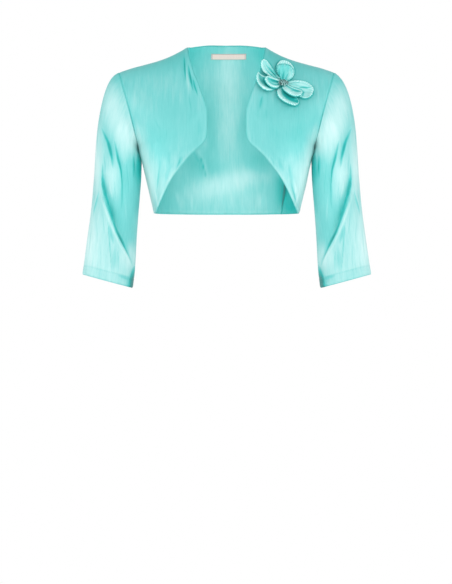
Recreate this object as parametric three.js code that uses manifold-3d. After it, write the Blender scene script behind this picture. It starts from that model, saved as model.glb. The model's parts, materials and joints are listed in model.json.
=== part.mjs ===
// A cropped satin bolero jacket with elbow-length sleeves and a fabric flower on its wearer's left front.
// It is filled out as if worn, and hollow: each sewn piece is a thin curved wall, and the neck, front, hem
// and cuffs are open. Units are millimetres. The origin is on the wearer's midline, level with the neck
// ends of the shoulder seams. +X is the wearer's left, -Y is the front and +Z is up.
import * as THREE from "three";
import { mergeVertices } from "three/addons/utils/BufferGeometryUtils.js";
import Module from "manifold-3d";

const wasm = await Module();
wasm.setup();

// Driving dimensions.
const CLOTH = 1.5; // wall of one layer of cloth
const SEAM_GAP = 0.3; // between neighbouring pieces
const NECK_HALF = 72; // midline to the neck end of a shoulder seam
const BACK_NECK_RISE = 9; // how far the back neckline stands above the origin
const SHOULDER_TIP = { x: 198, z: -47 };
const UNDERARM = { x: 163, z: -183 };
const HEM = { x: 134.4, z: -307 };
const CUFF_HEM = { depth: 18, extra: 0.7 }; // turned-up sleeve hem, and the second layer of cloth inside it
const ARMHOLE_HOLLOW = 1.5; // how far the armhole seam bows in, seen from the front
const ARMHOLE_FLARE = { width: 135, power: 1.4 }; // how far the form's section runs on past the armhole seam
const OVAL_POWER = 2.4; // 2 gives an ellipse, and more a squarer section
const CROWN_POWER = 1.3; // roundness of the form over the shoulders
const FRONT = { sign: -1, crown: 150, depth: "front" };
const BACK = { sign: 1, crown: 130, depth: "back" };
const SATIN = 0x7fd8d4;

// How finely the walls are divided.
const ARMHOLE_STEPS = 16; // along one half of an armhole, tip to underarm
const SIDE_STEPS = 7; // underarm to hem
const FRONT_COLUMNS = 10;
const NECK_COLUMNS = 6; // across one half of the back neck
const SHOULDER_COLUMNS = 7;
const CAP_RINGS = 11; // armhole to upper arm
const ARM_RINGS = 15; // upper arm to the cuff's hem line

// The highest line of the form, seen from the front, from the midline to the shoulder tip.
const TOP_LINE = [
  { x: 0, z: 33 },
  { x: 20, z: 31 },
  { x: 40, z: 24.5 },
  { x: 60, z: 11 },
  { x: 72, z: 0 },
  { x: 84, z: -7.5 },
  { x: 106, z: -18.5 },
  { x: 128, z: -26.5 },
  { x: 153, z: -33.5 },
  { x: 174, z: -39 },
  { x: 198, z: -47 },
];

// Depth of the form in front of and behind the seams, by height.
const TORSO_DEPTHS = [
  { z: 40, front: 84, back: 93 },
  { z: -60, front: 88, back: 97 },
  { z: -120, front: 93, back: 99 },
  { z: -180, front: 97, back: 94 },
  { z: -220, front: 92, back: 86 },
  { z: -260, front: 84, back: 78 },
  { z: -310, front: 76, back: 74 },
];

// The curved front edge of one front, seen from the front, from the neck to the side seam.
const FRONT_EDGE = [
  { z: 0, x: 72 },
  { z: -17, x: 69 },
  { z: -34, x: 64.8 },
  { z: -54, x: 59 },
  { z: -71, x: 52.2 },
  { z: -88, x: 46.2 },
  { z: -105, x: 39.9 },
  { z: -123, x: 35.6 },
  { z: -147, x: 34.8 },
  { z: -172, x: 36 },
  { z: -183, x: 42 },
  { z: -194, x: 54.5 },
  { z: -208, x: 68.7 },
  { z: -225, x: 83.3 },
  { z: -243, x: 97.6 },
  { z: -262, x: 109.3 },
  { z: -284, x: 120.6 },
  { z: -307, x: 132.2 },
];

// Sections of the wearer's left sleeve from the upper arm to the cuff. Tilt lifts the outer side, in
// degrees.
const ARM_SECTIONS = [
  { z: -215, x: 199.8, halfWidth: 43, y: -5, halfDepth: 50, tilt: 2 },
  { z: -243, x: 201, halfWidth: 43.4, y: -7, halfDepth: 48.5, tilt: 3 },
  { z: -300, x: 205.7, halfWidth: 43.8, y: -12, halfDepth: 45, tilt: 6 },
  { z: -345, x: 209.9, halfWidth: 45.1, y: -16, halfDepth: 42, tilt: 9 },
  { z: -402, x: 214.9, halfWidth: 47.5, y: -20, halfDepth: 39, tilt: 13 },
  { z: -432.4, x: 218.9, halfWidth: 48, y: -22, halfDepth: 38, tilt: 14.9 },
];

// Directions in which a sleeve leaves the armhole and reaches the upper arm, at the top, front and
// underside.
const CAP_START = {
  top: [104, 0, -30],
  front: [40, -14, -75],
  under: [4, 0, -32],
};
const CAP_END = {
  top: [12, 0, -180],
  front: [9, -8, -110],
  under: [2, 0, -30],
};

// Folds of the wearer's left sleeve, mirrored on the right one. Each follows a path seen from the front, on
// the sleeve's front or back. The cloth sinks by depth on the path's inner side and stands up by ridge on
// its outer side.
const SLEEVE_FOLDS = [
  {
    name: "elbow fold",
    face: "front",
    depth: 6,
    ridge: 2.6,
    width: 17,
    path: [
      [229, -222],
      [224, -262],
      [209.8, -313],
      [193.5, -355],
      [173.6, -400],
    ],
  },
  {
    name: "outer drag line",
    face: "front",
    depth: 3,
    ridge: 0.8,
    width: 14,
    path: [
      [231, -150],
      [219, -174],
      [212, -195],
      [207, -222],
    ],
  },
  {
    name: "inner drag line",
    face: "front",
    depth: 2.8,
    ridge: 0.6,
    width: 14,
    path: [
      [206, -178],
      [197, -215],
      [192.5, -255],
      [192, -298],
    ],
  },
  {
    name: "back elbow fold",
    face: "back",
    depth: 5,
    ridge: 2,
    width: 17,
    path: [
      [232, -236],
      [222, -280],
      [206, -322],
      [186, -362],
    ],
  },
  {
    name: "back drag line",
    face: "back",
    depth: 2.8,
    ridge: 0.6,
    width: 14,
    path: [
      [222, -158],
      [209, -192],
      [200, -236],
    ],
  },
];

// The flower: its middle on the left front, and its petals. Angle is counted from the wearer's left towards
// the top, in degrees, and spread is the half angle that a petal keeps to near its root. Base is the height
// of its root, lift is how far its end rises, cup how far its sides do, and lean how far one side does.
const FLOWER = { x: 103, z: -71.5, root: 3.4, cloth: 1.1, follow: 0.8, widest: 0.58, roll: 2, steps: 8 };
const PETALS = [
  { name: "outer_top", angle: 82, length: 41, width: 35, spread: 28, base: 0, lift: 5, cup: 4, lean: 0 },
  { name: "outer_leaf", angle: 134, length: 53, width: 20, spread: 20, base: 0, lift: 9, cup: 3, lean: 0 },
  { name: "outer_low", angle: 181, length: 45, width: 34, spread: 24, base: 0, lift: 4, cup: 5, lean: 4 },
  { name: "outer_bottom", angle: 296, length: 45, width: 28, spread: 19, base: 0, lift: 4, cup: 6, lean: -4 },
  { name: "outer_side", angle: 343, length: 53, width: 30, spread: 22, base: 0, lift: 5, cup: 3, lean: 1 },
  { name: "inner_top", angle: 80, length: 30, width: 28, spread: 28, base: 1.5, lift: 12, cup: 5, lean: 0 },
  { name: "inner_low", angle: 187, length: 29, width: 20, spread: 26, base: 1.5, lift: 12, cup: 5, lean: 4 },
  { name: "inner_side", angle: 322, length: 36, width: 19, spread: 20, base: 1.5, lift: 17, cup: 4, lean: -4 },
];
const BEADS = { radius: 2.6, ring: [8.4, 4], count: 8, seat: 6.6, post: 3 };

// The blank woven label inside the back neck.
const LABEL = { x: 4, z: -12.5, width: 66, height: 9.8, cloth: 0.8, off: 0.8, columns: 12 };

const clamp = (value, low, high) => Math.min(high, Math.max(low, value));
const radians = THREE.MathUtils.degToRad;

// A smooth curve through the rows of a table: the value of one column for a value of another.
function curveThrough(rows, from, to) {
  const sorted = [...rows].sort((a, b) => a[from] - b[from]);
  const at = sorted.map((row) => row[from]);
  const values = sorted.map((row) => row[to]);
  const slope = values.map((_, i) => {
    const before = Math.max(0, i - 1);
    const after = Math.min(values.length - 1, i + 1);
    return (values[after] - values[before]) / (at[after] - at[before]);
  });
  return (t) => {
    const place = clamp(t, at[0], at[at.length - 1]);
    let i = 0;
    while (i < at.length - 2 && place > at[i + 1]) i += 1;
    const span = at[i + 1] - at[i];
    const [h00, h10, h01, h11] = hermite((place - at[i]) / span);
    return h00 * values[i] + h10 * span * slope[i] + h01 * values[i + 1] + h11 * span * slope[i + 1];
  };
}

function hermite(t) {
  const t2 = t * t;
  const t3 = t2 * t;
  return [2 * t3 - 3 * t2 + 1, t3 - 2 * t2 + t, 3 * t2 - 2 * t3, t3 - t2];
}

// The form that the jacket hangs on.
const topLine = curveThrough(TOP_LINE, "x", "z");
const frontEdge = curveThrough(FRONT_EDGE, "z", "x");
const torsoDepth = {
  front: curveThrough(TORSO_DEPTHS, "z", "front"),
  back: curveThrough(TORSO_DEPTHS, "z", "back"),
};

// How far up the armhole a height is, from 0 at the underarm to 1 at the shoulder tip.
const upArmhole = (z) => clamp((z - UNDERARM.z) / (SHOULDER_TIP.z - UNDERARM.z), 0, 1);

// The armhole seam, seen from the front.
function armholeX(z) {
  const up = upArmhole(z);
  return UNDERARM.x + (SHOULDER_TIP.x - UNDERARM.x) * up - ARMHOLE_HOLLOW * Math.sin(Math.PI * up);
}

function halfWidth(z) {
  if (z > UNDERARM.z) return armholeX(z) + ARMHOLE_FLARE.width * Math.pow(upArmhole(z), ARMHOLE_FLARE.power);
  const down = (UNDERARM.z - z) / (UNDERARM.z - HEM.z);
  return THREE.MathUtils.lerp(UNDERARM.x, HEM.x, down);
}

// How far the form's front or back lies from the plane of the side and shoulder seams.
function depthAt(side, x, z) {
  const drop = clamp((topLine(Math.abs(x)) - z) / side.crown, 0, 1);
  const crown = Math.sqrt(1 - Math.pow(1 - drop, CROWN_POWER));
  const across = Math.min(1, Math.abs(x) / halfWidth(z));
  const oval = Math.pow(1 - Math.pow(across, OVAL_POWER), 1 / OVAL_POWER);
  return torsoDepth[side.depth](z) * crown * oval;
}

function onForm(side, x, z) {
  return new THREE.Vector3(x, side.sign * (depthAt(side, x, z) + SEAM_GAP / 2), z);
}

function formNormal(side, x, z) {
  const step = 0.5;
  const across = onForm(side, x + step, z).sub(onForm(side, x - step, z));
  const up = onForm(side, x, z + step).sub(onForm(side, x, z - step));
  return across.cross(up).multiplyScalar(-side.sign).normalize();
}

// The rows of the torso's panels: where they meet the armhole or side seam, and how much of the shoulder's
// slope they keep.
function panelRows() {
  const rows = [];
  for (let k = 0; k <= ARMHOLE_STEPS; k += 1) {
    const middle = (SHOULDER_TIP.z + UNDERARM.z) / 2;
    const half = (SHOULDER_TIP.z - UNDERARM.z) / 2;
    const turn = Math.PI * (k / ARMHOLE_STEPS);
    const z = middle + half * Math.cos(turn);
    rows.push({ z, x: armholeX(z), slope: Math.pow(Math.cos(turn / 2), 2) });
  }
  for (let k = 1; k <= SIDE_STEPS; k += 1) {
    const z = THREE.MathUtils.lerp(UNDERARM.z, HEM.z, k / SIDE_STEPS);
    rows.push({ z, x: halfWidth(z), slope: 0 });
  }
  return rows;
}

// Places across a section so that its points are evenly spread round the oval.
function aroundOval(from, to, width, share) {
  const angle = (x) => Math.asin(Math.pow(clamp(x / width, 0, 1), OVAL_POWER / 2));
  const turn = THREE.MathUtils.lerp(angle(from), angle(to), share);
  return share === 1 ? to : width * Math.pow(Math.sin(turn), 2 / OVAL_POWER);
}

// One front, for the wearer's left. Each row runs from the front edge to the armhole or side seam.
function frontGrid() {
  return panelRows().map((row) => {
    const rise = (x) => (topLine((x * SHOULDER_TIP.x) / row.x) - SHOULDER_TIP.z) * row.slope;
    let inner = frontEdge(row.z);
    for (let pass = 0; pass < 12; pass += 1) inner = frontEdge(row.z + rise(inner));
    const width = Math.max(halfWidth(row.z), row.x);
    const points = [];
    for (let i = 0; i <= FRONT_COLUMNS; i += 1) {
      const x = aroundOval(inner, row.x, width, i / FRONT_COLUMNS);
      points.push(onForm(FRONT, x, row.z + rise(x)));
    }
    return points;
  });
}

// The back, from the wearer's right to the left. Its top edge follows the shoulder seams and the back
// neckline.
function backGrid() {
  const neckline = (x) => BACK_NECK_RISE * (1 - Math.pow(x / NECK_HALF, 2));
  const places = [];
  for (let i = 0; i <= NECK_COLUMNS; i += 1) {
    places.push(NECK_HALF * Math.sin((Math.PI / 2) * (i / NECK_COLUMNS)));
  }
  for (let i = 1; i <= SHOULDER_COLUMNS; i += 1) {
    places.push(THREE.MathUtils.lerp(NECK_HALF, SHOULDER_TIP.x, i / SHOULDER_COLUMNS));
  }
  const rightSide = places.slice(1).map((x) => -x);
  const columns = [...rightSide.reverse(), ...places];
  return panelRows().map((row) => {
    const width = Math.max(halfWidth(row.z), row.x);
    return columns.map((column) => {
      const size = Math.abs(column);
      const edge = size < NECK_HALF ? neckline(size) : topLine(size);
      const share = size / SHOULDER_TIP.x;
      const spread = aroundOval(0, row.x, width, share);
      const x = THREE.MathUtils.lerp(spread, share * row.x, row.slope);
      return onForm(BACK, Math.sign(column) * x, row.z + (edge - SHOULDER_TIP.z) * row.slope);
    });
  });
}

// Square to the armhole seam of the wearer's left, away from the body.
const ARMHOLE_OUT = new THREE.Vector3(SHOULDER_TIP.z - UNDERARM.z, 0, UNDERARM.x - SHOULDER_TIP.x).normalize();

// The armhole as a ring of points from the shoulder tip round the front to the underarm and up the back.
function armholeRing() {
  const outward = ARMHOLE_OUT.clone().multiplyScalar(SEAM_GAP + 0.05);
  const rows = panelRows().slice(0, ARMHOLE_STEPS + 1);
  const half = (side) => rows.map((row) => onForm(side, row.x, row.z));
  const ring = [...half(FRONT), ...half(BACK).slice(1, -1).reverse()];
  ring[0].y = 0;
  ring[ARMHOLE_STEPS].y = 0;
  return ring.map((point) => point.add(outward));
}

// A ring round the arm at a height between the upper arm and the cuff.
const armColumn = (name) => curveThrough(ARM_SECTIONS, "z", name);
const armSection = Object.fromEntries(
  ["x", "y", "halfWidth", "halfDepth", "tilt"].map((name) => [name, armColumn(name)]),
);

function armPoint(z, turn) {
  const across = armSection.halfWidth(z) * Math.cos(turn);
  const tilt = radians(armSection.tilt(z));
  return new THREE.Vector3(
    armSection.x(z) + across * Math.cos(tilt),
    armSection.y(z) - armSection.halfDepth(z) * Math.sin(turn),
    z + across * Math.sin(tilt),
  );
}

// A cap direction for a place on the armhole, mixed from the ones at the top, front or back, and underside.
function capDirection(table, turn) {
  const up = Math.cos(turn);
  const along = new THREE.Vector3(...(up > 0 ? table.top : table.under)).multiplyScalar(up * up);
  const sideways = new THREE.Vector3(...table.front).multiplyScalar(1 - up * up);
  sideways.y *= Math.sign(Math.sin(turn));
  return along.add(sideways);
}

// Where a point lies by a fold's path, seen from the front: its distance, positive on the path's outer
// side, and how far along the path it is.
function besidePath(path, x, z) {
  let nearest = { distance: Infinity };
  const last = path.length - 1;
  for (let i = 0; i < last; i += 1) {
    const [ax, az] = path[i];
    const [dx, dz] = [path[i + 1][0] - ax, path[i + 1][1] - az];
    const share = clamp(((x - ax) * dx + (z - az) * dz) / (dx * dx + dz * dz), 0, 1);
    const distance = Math.hypot(x - ax - share * dx, z - az - share * dz);
    const side = Math.sign(dx * (z - az) - dz * (x - ax)) || 1;
    if (distance < Math.abs(nearest.distance)) nearest = { distance: side * distance, along: (i + share) / last };
  }
  return nearest;
}

// How far the folds move the sleeve's cloth outwards at a point.
function foldHeight(point, turn) {
  const facing = Math.sin(turn);
  let height = 0;
  for (const fold of SLEEVE_FOLDS) {
    if (facing * (fold.face === "front" ? 1 : -1) <= 0) continue;
    const { distance, along } = besidePath(fold.path, point.x, point.z);
    const fade = Math.pow(Math.sin(Math.PI * clamp(along, 0.02, 0.98)), 0.6) * Math.min(1, Math.abs(facing) * 1.6);
    const off = distance / fold.width;
    const outer = THREE.MathUtils.smoothstep(off, -0.4, 0.4);
    const crest = fold.ridge * outer * Math.exp(-Math.pow(off - 0.3, 2));
    const trough = fold.depth * (1 - outer) * Math.exp(-Math.pow(off + 0.35, 2));
    height += fade * (crest - trough);
  }
  return height;
}

// The wearer's left sleeve: a cap from the armhole to the upper arm, then the arm down to the cuff.
function sleeveGrid() {
  const armhole = armholeRing();
  const count = armhole.length;
  const turns = armhole.map((_, i) => (2 * Math.PI * i) / count);
  const top = ARM_SECTIONS[0].z;
  const cuff = ARM_SECTIONS[ARM_SECTIONS.length - 1].z;
  const rings = [];
  for (let k = 0; k < CAP_RINGS; k += 1) {
    const [h00, h10, h01, h11] = hermite(k / CAP_RINGS);
    rings.push(
      turns.map((turn, i) =>
        armhole[i]
          .clone()
          .multiplyScalar(h00)
          .addScaledVector(capDirection(CAP_START, turn), h10)
          .addScaledVector(armPoint(top, turn), h01)
          .addScaledVector(capDirection(CAP_END, turn), h11),
      ),
    );
  }
  const hemLine = cuff + CUFF_HEM.depth;
  const heights = [];
  for (let k = 0; k <= ARM_RINGS; k += 1) {
    heights.push(THREE.MathUtils.lerp(top, hemLine, k / ARM_RINGS));
  }
  heights.push(hemLine - CUFF_HEM.extra, cuff);
  for (const z of heights) rings.push(turns.map((turn) => armPoint(z, turn)));
  const normals = gridNormals(rings, true, 1);
  const folded = (point, k, i) => point.clone().addScaledVector(normals[k][i], foldHeight(point, turns[i]));
  return rings.map((ring, k) => (k === 0 ? ring : ring.map((point, i) => folded(point, k, i))));
}

// Turns the wall at a seam so that its edge doesn't cross the seam's plane. Shoulder and side seams lie in
// y = 0.
function squareToSeams(point, normal, onSleeve) {
  if (Math.abs(point.y) <= SEAM_GAP / 2 + 1e-6) normal.setY(0).normalize();
  const offSeam = Math.abs(point.x) - armholeX(point.z);
  if (point.z < UNDERARM.z - 1 || Math.abs(offSeam) > 2 * SEAM_GAP) return normal;
  const outward = new THREE.Vector3(ARMHOLE_OUT.x * Math.sign(point.x), 0, ARMHOLE_OUT.z);
  const crossing = normal.dot(outward);
  const crosses = onSleeve ? crossing > 0 : crossing < 0;
  return crosses ? normal.addScaledVector(outward, -crossing).normalize() : normal;
}

// Unit normals of a grid of points, from its neighbours. A closed grid joins its last column to its first.
function gridNormals(rows, closed, sign) {
  const last = rows.length - 1;
  return rows.map((row, r) =>
    row.map((point, c) => {
      const count = row.length;
      const before = closed ? row[(c + count - 1) % count] : row[Math.max(0, c - 1)];
      const after = closed ? row[(c + 1) % count] : row[Math.min(count - 1, c + 1)];
      const along = after.clone().sub(before);
      const down = rows[Math.min(last, r + 1)][c].clone().sub(rows[Math.max(0, r - 1)][c]);
      const normal = along.cross(down).multiplyScalar(sign).normalize();
      return squareToSeams(point, normal, closed && r === 0);
    }),
  );
}

// A wall of cloth inside a grid of outer points, as one closed surface.
function wallGeometry(rows, { closed = false, sign = 1, thickness = () => CLOTH } = {}) {
  const normals = gridNormals(rows, closed, sign);
  const height = rows.length;
  const width = rows[0].length;
  const points = [];
  for (const inward of [false, true]) {
    rows.forEach((row, r) =>
      row.forEach((point, c) => {
        const moved = inward ? point.clone().addScaledVector(normals[r][c], -thickness(r)) : point;
        points.push(moved.x, moved.y, moved.z);
      }),
    );
  }
  const outer = (r, c) => r * width + (c % width);
  const inner = (r, c) => height * width + outer(r, c);
  const index = [];
  const quad = (a, b, c, d) => (sign > 0 ? index.push(a, b, c, a, c, d) : index.push(a, c, b, a, d, c));
  const columns = closed ? width : width - 1;
  for (let r = 0; r < height - 1; r += 1) {
    for (let c = 0; c < columns; c += 1) {
      quad(outer(r, c), outer(r, c + 1), outer(r + 1, c + 1), outer(r + 1, c));
      quad(inner(r, c), inner(r + 1, c), inner(r + 1, c + 1), inner(r, c + 1));
    }
  }
  for (let c = 0; c < columns; c += 1) {
    quad(outer(0, c), inner(0, c), inner(0, c + 1), outer(0, c + 1));
    quad(outer(height - 1, c), outer(height - 1, c + 1), inner(height - 1, c + 1), inner(height - 1, c));
  }
  if (!closed) {
    for (let r = 0; r < height - 1; r += 1) {
      quad(outer(r, 0), outer(r + 1, 0), inner(r + 1, 0), inner(r, 0));
      quad(outer(r, width - 1), inner(r, width - 1), inner(r + 1, width - 1), outer(r + 1, width - 1));
    }
  }
  const geometry = new THREE.BufferGeometry();
  geometry.setAttribute("position", new THREE.Float32BufferAttribute(points, 3));
  geometry.setIndex(index);
  geometry.computeVertexNormals();
  return geometry;
}

const mirrored = (point) => new THREE.Vector3(-point.x, point.y, point.z);
const mirrorGrid = (rows) => rows.map((row) => row.map(mirrored));

function satin(lightness = 1) {
  const colour = new THREE.Color(SATIN).multiplyScalar(lightness);
  return new THREE.MeshStandardMaterial({ color: colour, roughness: 0.4, metalness: 0, side: THREE.DoubleSide });
}

function piece(name, geometry, material) {
  const mesh = new THREE.Mesh(geometry, material);
  mesh.name = name;
  return mesh;
}

function backPanel() {
  return piece("back", wallGeometry(backGrid(), { sign: 1 }), satin());
}

function frontPanels() {
  const left = frontGrid();
  return [
    piece("front_left", wallGeometry(left, { sign: -1 }), satin()),
    piece("front_right", wallGeometry(mirrorGrid(left), { sign: 1 }), satin()),
  ];
}

function sleeves() {
  const left = sleeveGrid();
  const hemmed = left.length - 2;
  const options = { closed: true, thickness: (r) => (r >= hemmed ? CLOTH + CUFF_HEM.extra : CLOTH) };
  return [
    piece("sleeve_left", wallGeometry(left, { ...options, sign: 1 }), satin(1.04)),
    piece("sleeve_right", wallGeometry(mirrorGrid(left), { ...options, sign: -1 }), satin(1.04)),
  ];
}

// The label lies on the inside of the back, so it is made from the back's points, moved in.
function neckLabel() {
  const rows = [-1, 1].map((end) => {
    const row = [];
    for (let i = 0; i <= LABEL.columns; i += 1) {
      const x = LABEL.x + LABEL.width * (i / LABEL.columns - 0.5);
      const z = LABEL.z - (end * LABEL.height) / 2;
      row.push(onForm(BACK, x, z).addScaledVector(formNormal(BACK, x, z), -(CLOTH + LABEL.off)));
    }
    return row;
  });
  const material = new THREE.MeshStandardMaterial({ color: 0xeee2da, roughness: 0.8 });
  return piece("neck_label", wallGeometry(rows, { sign: 1, thickness: () => LABEL.cloth }), material);
}

// The flower's own frame: x to the wearer's left, y up the cloth and z out from it.
function flowerFrame() {
  const normal = formNormal(FRONT, FLOWER.x, FLOWER.z);
  const sideways = new THREE.Vector3(1, 0, 0).addScaledVector(normal, -normal.x).normalize();
  const up = normal.clone().cross(sideways);
  const group = new THREE.Group();
  const turned = new THREE.Matrix4().makeBasis(sideways, up, normal);
  group.quaternion.setFromRotationMatrix(turned);
  group.position.copy(onForm(FRONT, FLOWER.x, FLOWER.z)).addScaledVector(normal, SEAM_GAP);
  return group;
}

// How far the front panel falls away behind the flower's own flat plane.
function clothBelow(frame, x, y) {
  const outward = new THREE.Vector3(0, 0, 1).applyQuaternion(frame.quaternion);
  let above = 0;
  let below = -60;
  for (let pass = 0; pass < 16; pass += 1) {
    const middle = (above + below) / 2;
    const probe = frame.localToWorld(new THREE.Vector3(x, y, 0)).addScaledVector(outward, middle);
    if (-probe.y > depthAt(FRONT, probe.x, probe.z) + 2 * SEAM_GAP) above = middle;
    else below = middle;
  }
  return above;
}

// One petal: a cupped sheet that is pinched at its root, with a round end and a rim that turns up.
function petalGrid(petal, frame) {
  const angle = radians(petal.angle);
  const rows = [];
  for (let k = 0; k <= FLOWER.steps; k += 1) {
    const along = Math.sin((Math.PI / 2) * (k / FLOWER.steps));
    const swell = Math.sin((Math.PI / 2) * Math.min(1, along / FLOWER.widest));
    const past = Math.max(0, along - FLOWER.widest) / (1 - FLOWER.widest);
    const narrow = Math.sqrt(1 - 0.94 * past * past);
    const room = (FLOWER.root + petal.length * along) * Math.tan(radians(petal.spread));
    const half = Math.min((petal.width / 2) * (0.12 + 0.88 * swell) * narrow, room - SEAM_GAP);
    const row = [];
    for (let j = 0; j <= FLOWER.steps; j += 1) {
      const across = (2 * j) / FLOWER.steps - 1;
      const reach = FLOWER.root + petal.length * along * (1 - 0.1 * across * across * along);
      const x = reach * Math.cos(angle) - across * half * Math.sin(angle);
      const y = reach * Math.sin(angle) + across * half * Math.cos(angle);
      const rim = Math.max(Math.abs(across), along);
      const rise = petal.base + FLOWER.cloth + petal.lift * along + FLOWER.roll * Math.pow(rim, 8) * along;
      const bowl = (petal.cup * across * across + petal.lean * across) * Math.sin(Math.PI * Math.min(along, 0.75));
      row.push(new THREE.Vector3(x, y, rise + bowl + FLOWER.follow * clothBelow(frame, x, y)));
    }
    rows.push(row);
  }
  return rows;
}

function petals(frame) {
  const options = { sign: -1, thickness: () => FLOWER.cloth };
  return PETALS.map((petal) => {
    const geometry = wallGeometry(petalGrid(petal, frame), options);
    return piece(`petal_${petal.name}`, geometry, satin(1.08));
  });
}

// The beads in the flower's middle, joined to the low dome that they are sewn on and to its post.
function beadCluster() {
  const solid = (geometry) => {
    geometry.deleteAttribute("normal");
    geometry.deleteAttribute("uv");
    const merged = mergeVertices(geometry, 1e-4);
    return new wasm.Manifold(
      new wasm.Mesh({
        numProp: 3,
        vertProperties: merged.attributes.position.array,
        triVerts: new Uint32Array(merged.index.array),
      }),
    );
  };
  const [wide, tall] = BEADS.ring;
  const dome = new THREE.SphereGeometry(1, 14, 8).scale(wide, tall, 1.5).translate(0, 0, BEADS.seat + 1.5);
  const post = new THREE.CylinderGeometry(BEADS.post, BEADS.post, BEADS.seat + 1.5, 16).rotateX(Math.PI / 2);
  post.translate(0, 0, (BEADS.seat + 1.5) / 2);
  let cluster = solid(dome).add(solid(post));
  for (let i = 0; i <= BEADS.count; i += 1) {
    const turn = (2 * Math.PI * i) / BEADS.count;
    const middle = i === BEADS.count;
    const place = middle ? [0, 0, 1.2] : [wide * 0.82 * Math.cos(turn), tall * 0.9 * Math.sin(turn), 0];
    const bead = new THREE.SphereGeometry(BEADS.radius, 8, 6).rotateX(Math.PI / 2);
    bead.translate(place[0], place[1], BEADS.seat + BEADS.radius + place[2]);
    cluster = cluster.add(solid(bead));
  }
  const mesh = cluster.getMesh();
  const geometry = new THREE.BufferGeometry();
  geometry.setAttribute("position", new THREE.BufferAttribute(mesh.vertProperties, mesh.numProp));
  geometry.setIndex(new THREE.BufferAttribute(mesh.triVerts, 1));
  const material = new THREE.MeshStandardMaterial({ color: 0x6c7a7c, roughness: 0.25, metalness: 0.7 });
  return piece("bead_cluster", geometry, material);
}

const bolero = new THREE.Group();
bolero.add(backPanel(), ...frontPanels(), ...sleeves(), neckLabel());
const flower = flowerFrame();
bolero.add(flower);
bolero.updateMatrixWorld(true);
flower.add(...petals(flower), beadCluster());

export default bolero;
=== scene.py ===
"""A satin bolero jacket with a fabric flower: a Blender add-on, run as a script round its frame.

Shapes are worked out in millimetres, in the frame's axes, and become metres when a mesh is made.
"""

import json
import math

import bmesh
import bpy
import numpy as np
from bpy.props import FloatProperty, FloatVectorProperty, IntProperty, PointerProperty
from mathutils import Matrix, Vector

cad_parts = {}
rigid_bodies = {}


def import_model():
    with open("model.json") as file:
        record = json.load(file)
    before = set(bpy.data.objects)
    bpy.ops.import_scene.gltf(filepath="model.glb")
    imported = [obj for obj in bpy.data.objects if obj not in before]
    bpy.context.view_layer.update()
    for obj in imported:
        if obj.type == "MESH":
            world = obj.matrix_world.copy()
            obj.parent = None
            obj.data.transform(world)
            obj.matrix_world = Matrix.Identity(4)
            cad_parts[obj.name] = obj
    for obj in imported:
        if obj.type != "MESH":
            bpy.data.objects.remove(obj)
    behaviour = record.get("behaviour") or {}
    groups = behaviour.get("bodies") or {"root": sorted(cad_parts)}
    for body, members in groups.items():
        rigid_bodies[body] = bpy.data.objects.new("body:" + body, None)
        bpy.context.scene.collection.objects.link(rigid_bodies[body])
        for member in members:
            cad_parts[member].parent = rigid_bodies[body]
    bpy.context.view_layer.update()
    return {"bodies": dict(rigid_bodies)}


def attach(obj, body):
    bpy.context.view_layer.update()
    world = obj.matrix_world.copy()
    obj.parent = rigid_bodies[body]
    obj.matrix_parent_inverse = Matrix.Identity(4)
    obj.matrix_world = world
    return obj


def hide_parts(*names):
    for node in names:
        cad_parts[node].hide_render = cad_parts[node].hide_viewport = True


bl_info = {
    "name": "Bolero jacket",
    "version": (1, 0, 0),
    "blender": (4, 5, 0),
    "location": "3D View > Sidebar > Bolero",
    "description": "Builds a satin bolero jacket with a fabric flower on its frame",
    "category": "Add Mesh",
}

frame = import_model()
BODY = next(iter(frame["bodies"]))

MM = 0.001
CLOTH_UV = "cloth"
# The mesh attribute that carries painted light: a painted highlight above 0 and painted shade below 0.
PAINTED_LIGHT_ATTRIBUTE = "painted_light"


def table(columns, *rows):
    """A table's rows as dictionaries, with its columns named once. A row can leave its last cells out."""
    names = columns.split()
    return [dict(zip(names, row)) for row in rows]


# The form that the jacket hangs on, as its solids have it.
NECK_HALF = 72.0
BACK_NECK_RISE = 9.2
BACK_NECK_POWER = 3.0
SHOULDER_TIP = (198.0, -47.0)
UNDERARM = (163.0, -183.0)
HEM = (134.4, -307.0)
ARMHOLE_HOLLOW = 1.5
ARMHOLE_FLARE = {"width": 135.0, "power": 1.4, "ease": 0.03}
OVAL_POWER = 2.4
CROWN_POWER = 1.3
CROWN = {"front": 150.0, "back": 130.0}
FACING = {"front": -1.0, "back": 1.0}
SIDES = {"left": 1, "right": -1}

TOP_LINE = table(
    "x z",
    (0, 33), (20, 31), (40, 24.5), (60, 11), (72, 0), (84, -7.5), (106, -18.5), (128, -26.5),
    (153, -33.5), (174, -39), (198, -47),
)
TORSO_DEPTHS = table(
    "z front back",
    (40, 84, 93),
    (-60, 88, 97),
    (-120, 93, 99),
    (-180, 97, 94),
    (-220, 92, 86),
    (-260, 84, 78),
    (-310, 76, 74),
)
FRONT_EDGE = table(
    "z x",
    (0, 72), (-17, 69), (-34, 64.8), (-54, 59), (-71, 52.2), (-88, 46.2), (-105, 39.9),
    (-123, 35.6), (-147, 34.8), (-172, 36), (-183, 42), (-194, 54.5), (-208, 68.7), (-225, 83.3),
    (-243, 97.6), (-262, 109.3), (-284, 120.6), (-307, 132.2),
)
ARM_SECTIONS = table(
    "z x width y depth tilt",
    (-215, 199.8, 43, -5, 50, 2),
    (-243, 201, 43.4, -7, 48.5, 3),
    (-300, 205.7, 43.8, -12, 45, 6),
    (-345, 209.9, 45.1, -16, 42, 9),
    (-402, 214.9, 47.5, -20, 39, 13),
    (-432.4, 218.9, 48, -22, 38, 14.9),
)
CAP_START = {"top": (104, 0, -30), "front": (40, -14, -75), "under": (4, 0, -32)}
CAP_END = {"top": (12, 0, -180), "front": (9, -8, -110), "under": (2, 0, -30)}
ARM_RADIUS = 46.0

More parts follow.
